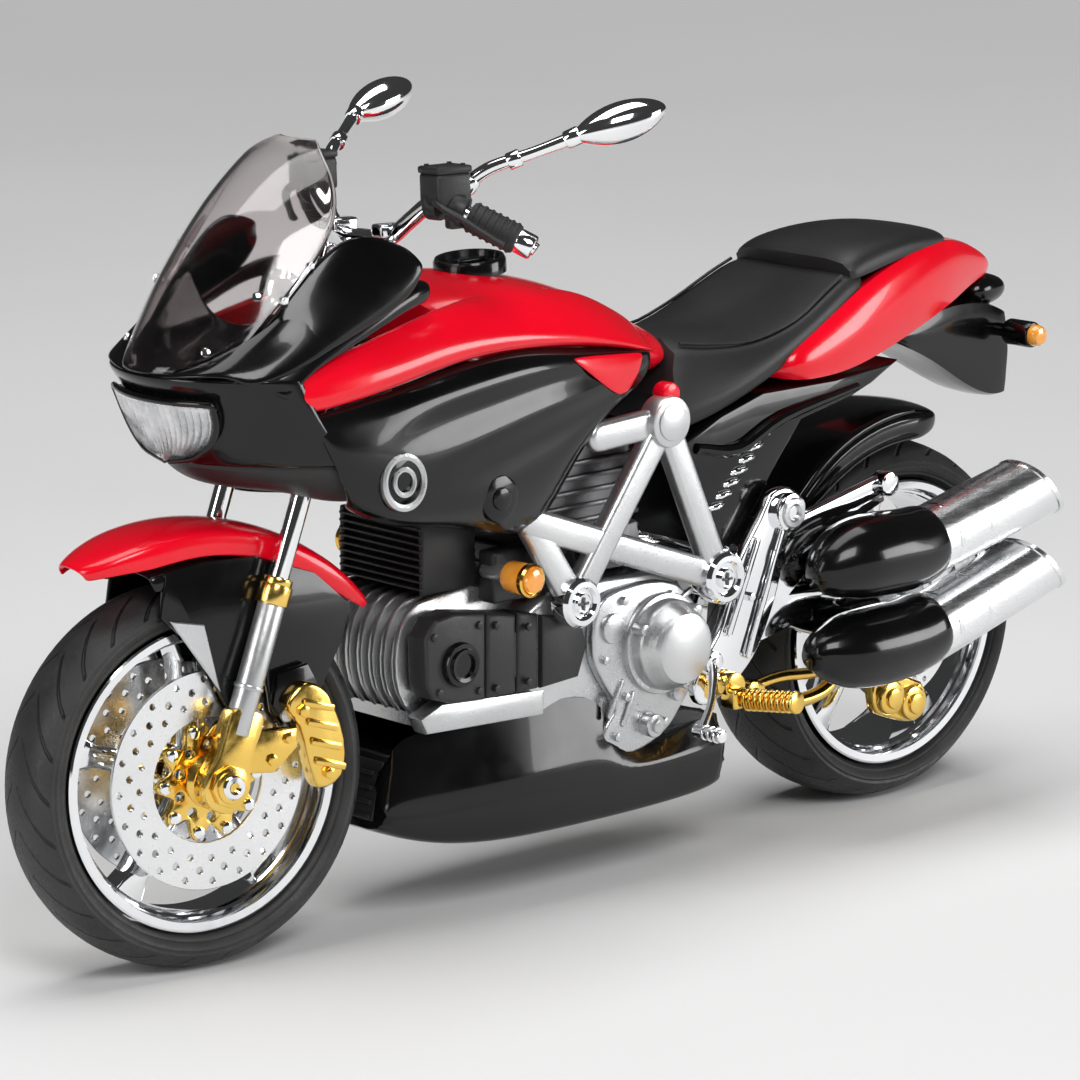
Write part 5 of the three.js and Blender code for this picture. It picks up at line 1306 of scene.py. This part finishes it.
# rings along the mirror head: place, half width, half height, and their middle
mirror = {"stalk": [(24.2, 15.2, 90.6), (22.2, 17.0, 92.2), (18.4, 20.2, 93.8), (14.2, 23.6, 95.7)],
          "sizes": [0.85, 0.8, 0.7, 0.85], "centre": (9.8, 25.0, 96.8), "turn": -15, "tilt": 10,
          "rings": [(-6.0, 0.5, 0.35, 0.3, 0.5), (-5.2, 1.5, 1.2, 0.2, 0.4), (-3.4, 2.6, 2.1, 0.1, 0.2),
                    (-0.8, 3.0, 2.6, 0, 0), (2.0, 2.6, 2.3, 0, -0.1), (4.2, 1.7, 1.4, -0.1, -0.2),
                    (5.4, 0.8, 0.7, -0.1, -0.3), (5.9, 0.25, 0.25, -0.1, -0.3)]}
stalk = merged(tube(mirror["stalk"], mirror["sizes"], 18, 6), rod(1.3, (24.9, 14.8, 89.6), (24.0, 15.3,
                                                                                            91.0), 24, 0.3),
               rod(1.05, (20.8, 18.1, 92.7), (19.6, 19.1, 93.3), 24, 0.2),
               rod(1.1, (15.6, 22.4, 95.0), (14.2, 23.6, 95.8), 24, 0.3))
shell = loft([[(x, y + wide * math.cos(a), z + high * math.sin(a)) for a in compass(16)]
              for x, wide, high, y, z in mirror["rings"]])
shell.transform(Matrix.Translation(mirror["centre"]) @ Matrix.Rotation(math.radians(mirror["turn"]), 4, "Z")
                @ Matrix.Rotation(math.radians(mirror["tilt"]), 4, "Y"))
placeBoth("mirror_stalk", stalk, "steering", "chrome", "mirror", "steer", 40)
placeBoth("mirror_head", shell, "steering", "chrome", "", "steer", 60, 2)
barLine = [(29, 0, 83.4), (29, 4.9, 83.6), (28.6, 9, 86), (27.9, 12.6, 88.2), (26.9, 15.0, 88.1),
           (25.5, 16.5, 86.9)]
bar = tube([(x, -y, z) for x, y, z in reversed(barLine[1:])] + barLine, 1.0, 20, 5)
clamps = [block((3.4, 2.4, 1.6), (29.1, s * 5, 84.6), 0.35) for s in (1, -1)]
place("bar_tube", merged(bar, *clamps), "steering", "chrome", "handlebar", "steer", 40)
print("hangers, swingarm and bars done")


# Floor, light and camera
def areaLight(name, spot, target, size, power):
    data = bpy.data.lights.new(name, "AREA")
    data.shape = "RECTANGLE"
    data.size, data.size_y = size
    data.energy = power
    lamp = bpy.data.objects.new(name, data)
    bpy.context.scene.collection.objects.link(lamp)
    lamp.location = spot
    lamp.rotation_mode = "QUATERNION"
    lamp.rotation_quaternion = (Vector(target) - Vector(spot)).to_track_quat("-Z", "Y")


studio = {"floor": 6.0, "floorColour": ((0.80, 0.80, 0.80), (0.84, 0.84, 0.84)), "horizon": 0.78,
          "zenith": 0.85,
          "paleFrom": 0.25, "paleTo": 1.3, "paleGlow": 0.36}        # the floor brightens far from the bike
looks["floor"] = finishOf("floor", *studio["floorColour"], 0.75, grain=60, spread=0.05, depth=0.02, patch=4)
tree = looks["floor"].node_tree
away = tree.nodes.new("ShaderNodeVectorMath")
away.operation = "LENGTH"
link(tree, tree.nodes.new("ShaderNodeTexCoord").outputs["Object"], away.inputs[0])
shader = next(node for node in tree.nodes if node.type == "BSDF_PRINCIPLED")
shader.inputs["Emission Color"].default_value = (1, 1, 1, 1)
glow = rangeNode(tree, away.outputs["Value"], studio["paleFrom"], studio["paleTo"], 0, studio["paleGlow"])
link(tree, glow, shader.inputs["Emission Strength"])
bm = bmesh.new()
bmesh.ops.create_grid(bm, x_segments=8, y_segments=8, size=studio["floor"])
mesh = bpy.data.meshes.new("floor")
bm.to_mesh(mesh)
bm.free()
mesh.materials.append(looks["floor"])
floor = bpy.data.objects.new("floor", mesh)
bpy.context.scene.collection.objects.link(floor)

world = bpy.data.worlds.new("studio")
bpy.context.scene.world = world
world.use_nodes = True
sky = world.node_tree
heading = sky.nodes.new("ShaderNodeSeparateXYZ")
link(sky, sky.nodes.new("ShaderNodeTexCoord").outputs["Generated"], heading.inputs[0])
glow = rangeNode(sky, heading.outputs["Z"], 0.0, 0.9, studio["horizon"], studio["zenith"])
link(sky, glow, sky.nodes["Background"].inputs[1])
bpy.context.scene.view_settings.view_transform = "Standard"
areaLight("key", (0.35, 0.75, 0.75), (0, 0, 0.04), (0.45, 0.45), 6)
areaLight("top", (0.0, -0.1, 0.9), (0, 0, 0.04), (0.8, 0.5), 5)
areaLight("front", (0.95, -0.05, 0.35), (0, 0, 0.05), (0.3, 0.6), 3)
areaLight("side", (-0.75, 0.80, 0.22), (0, 0, 0.03), (0.5, 0.36), 5)

view = {"spot": (410.5, 439.6, 173.3), "target": (-0.541, -1.307, 42.119), "lens": 165.61}
camera = bpy.data.objects.new("camera", bpy.data.cameras.new("camera"))
bpy.context.scene.collection.objects.link(camera)
camera.data.sensor_width = 36
camera.data.lens = view["lens"]
camera.data.clip_start, camera.data.clip_end = 0.01, 50
camera.location = toWorld @ Vector(view["spot"])
camera.rotation_mode = "QUATERNION"
camera.rotation_quaternion = (Vector(view["target"]) - Vector(view["spot"])).to_track_quat("-Z", "Y")
bpy.context.scene.camera = camera
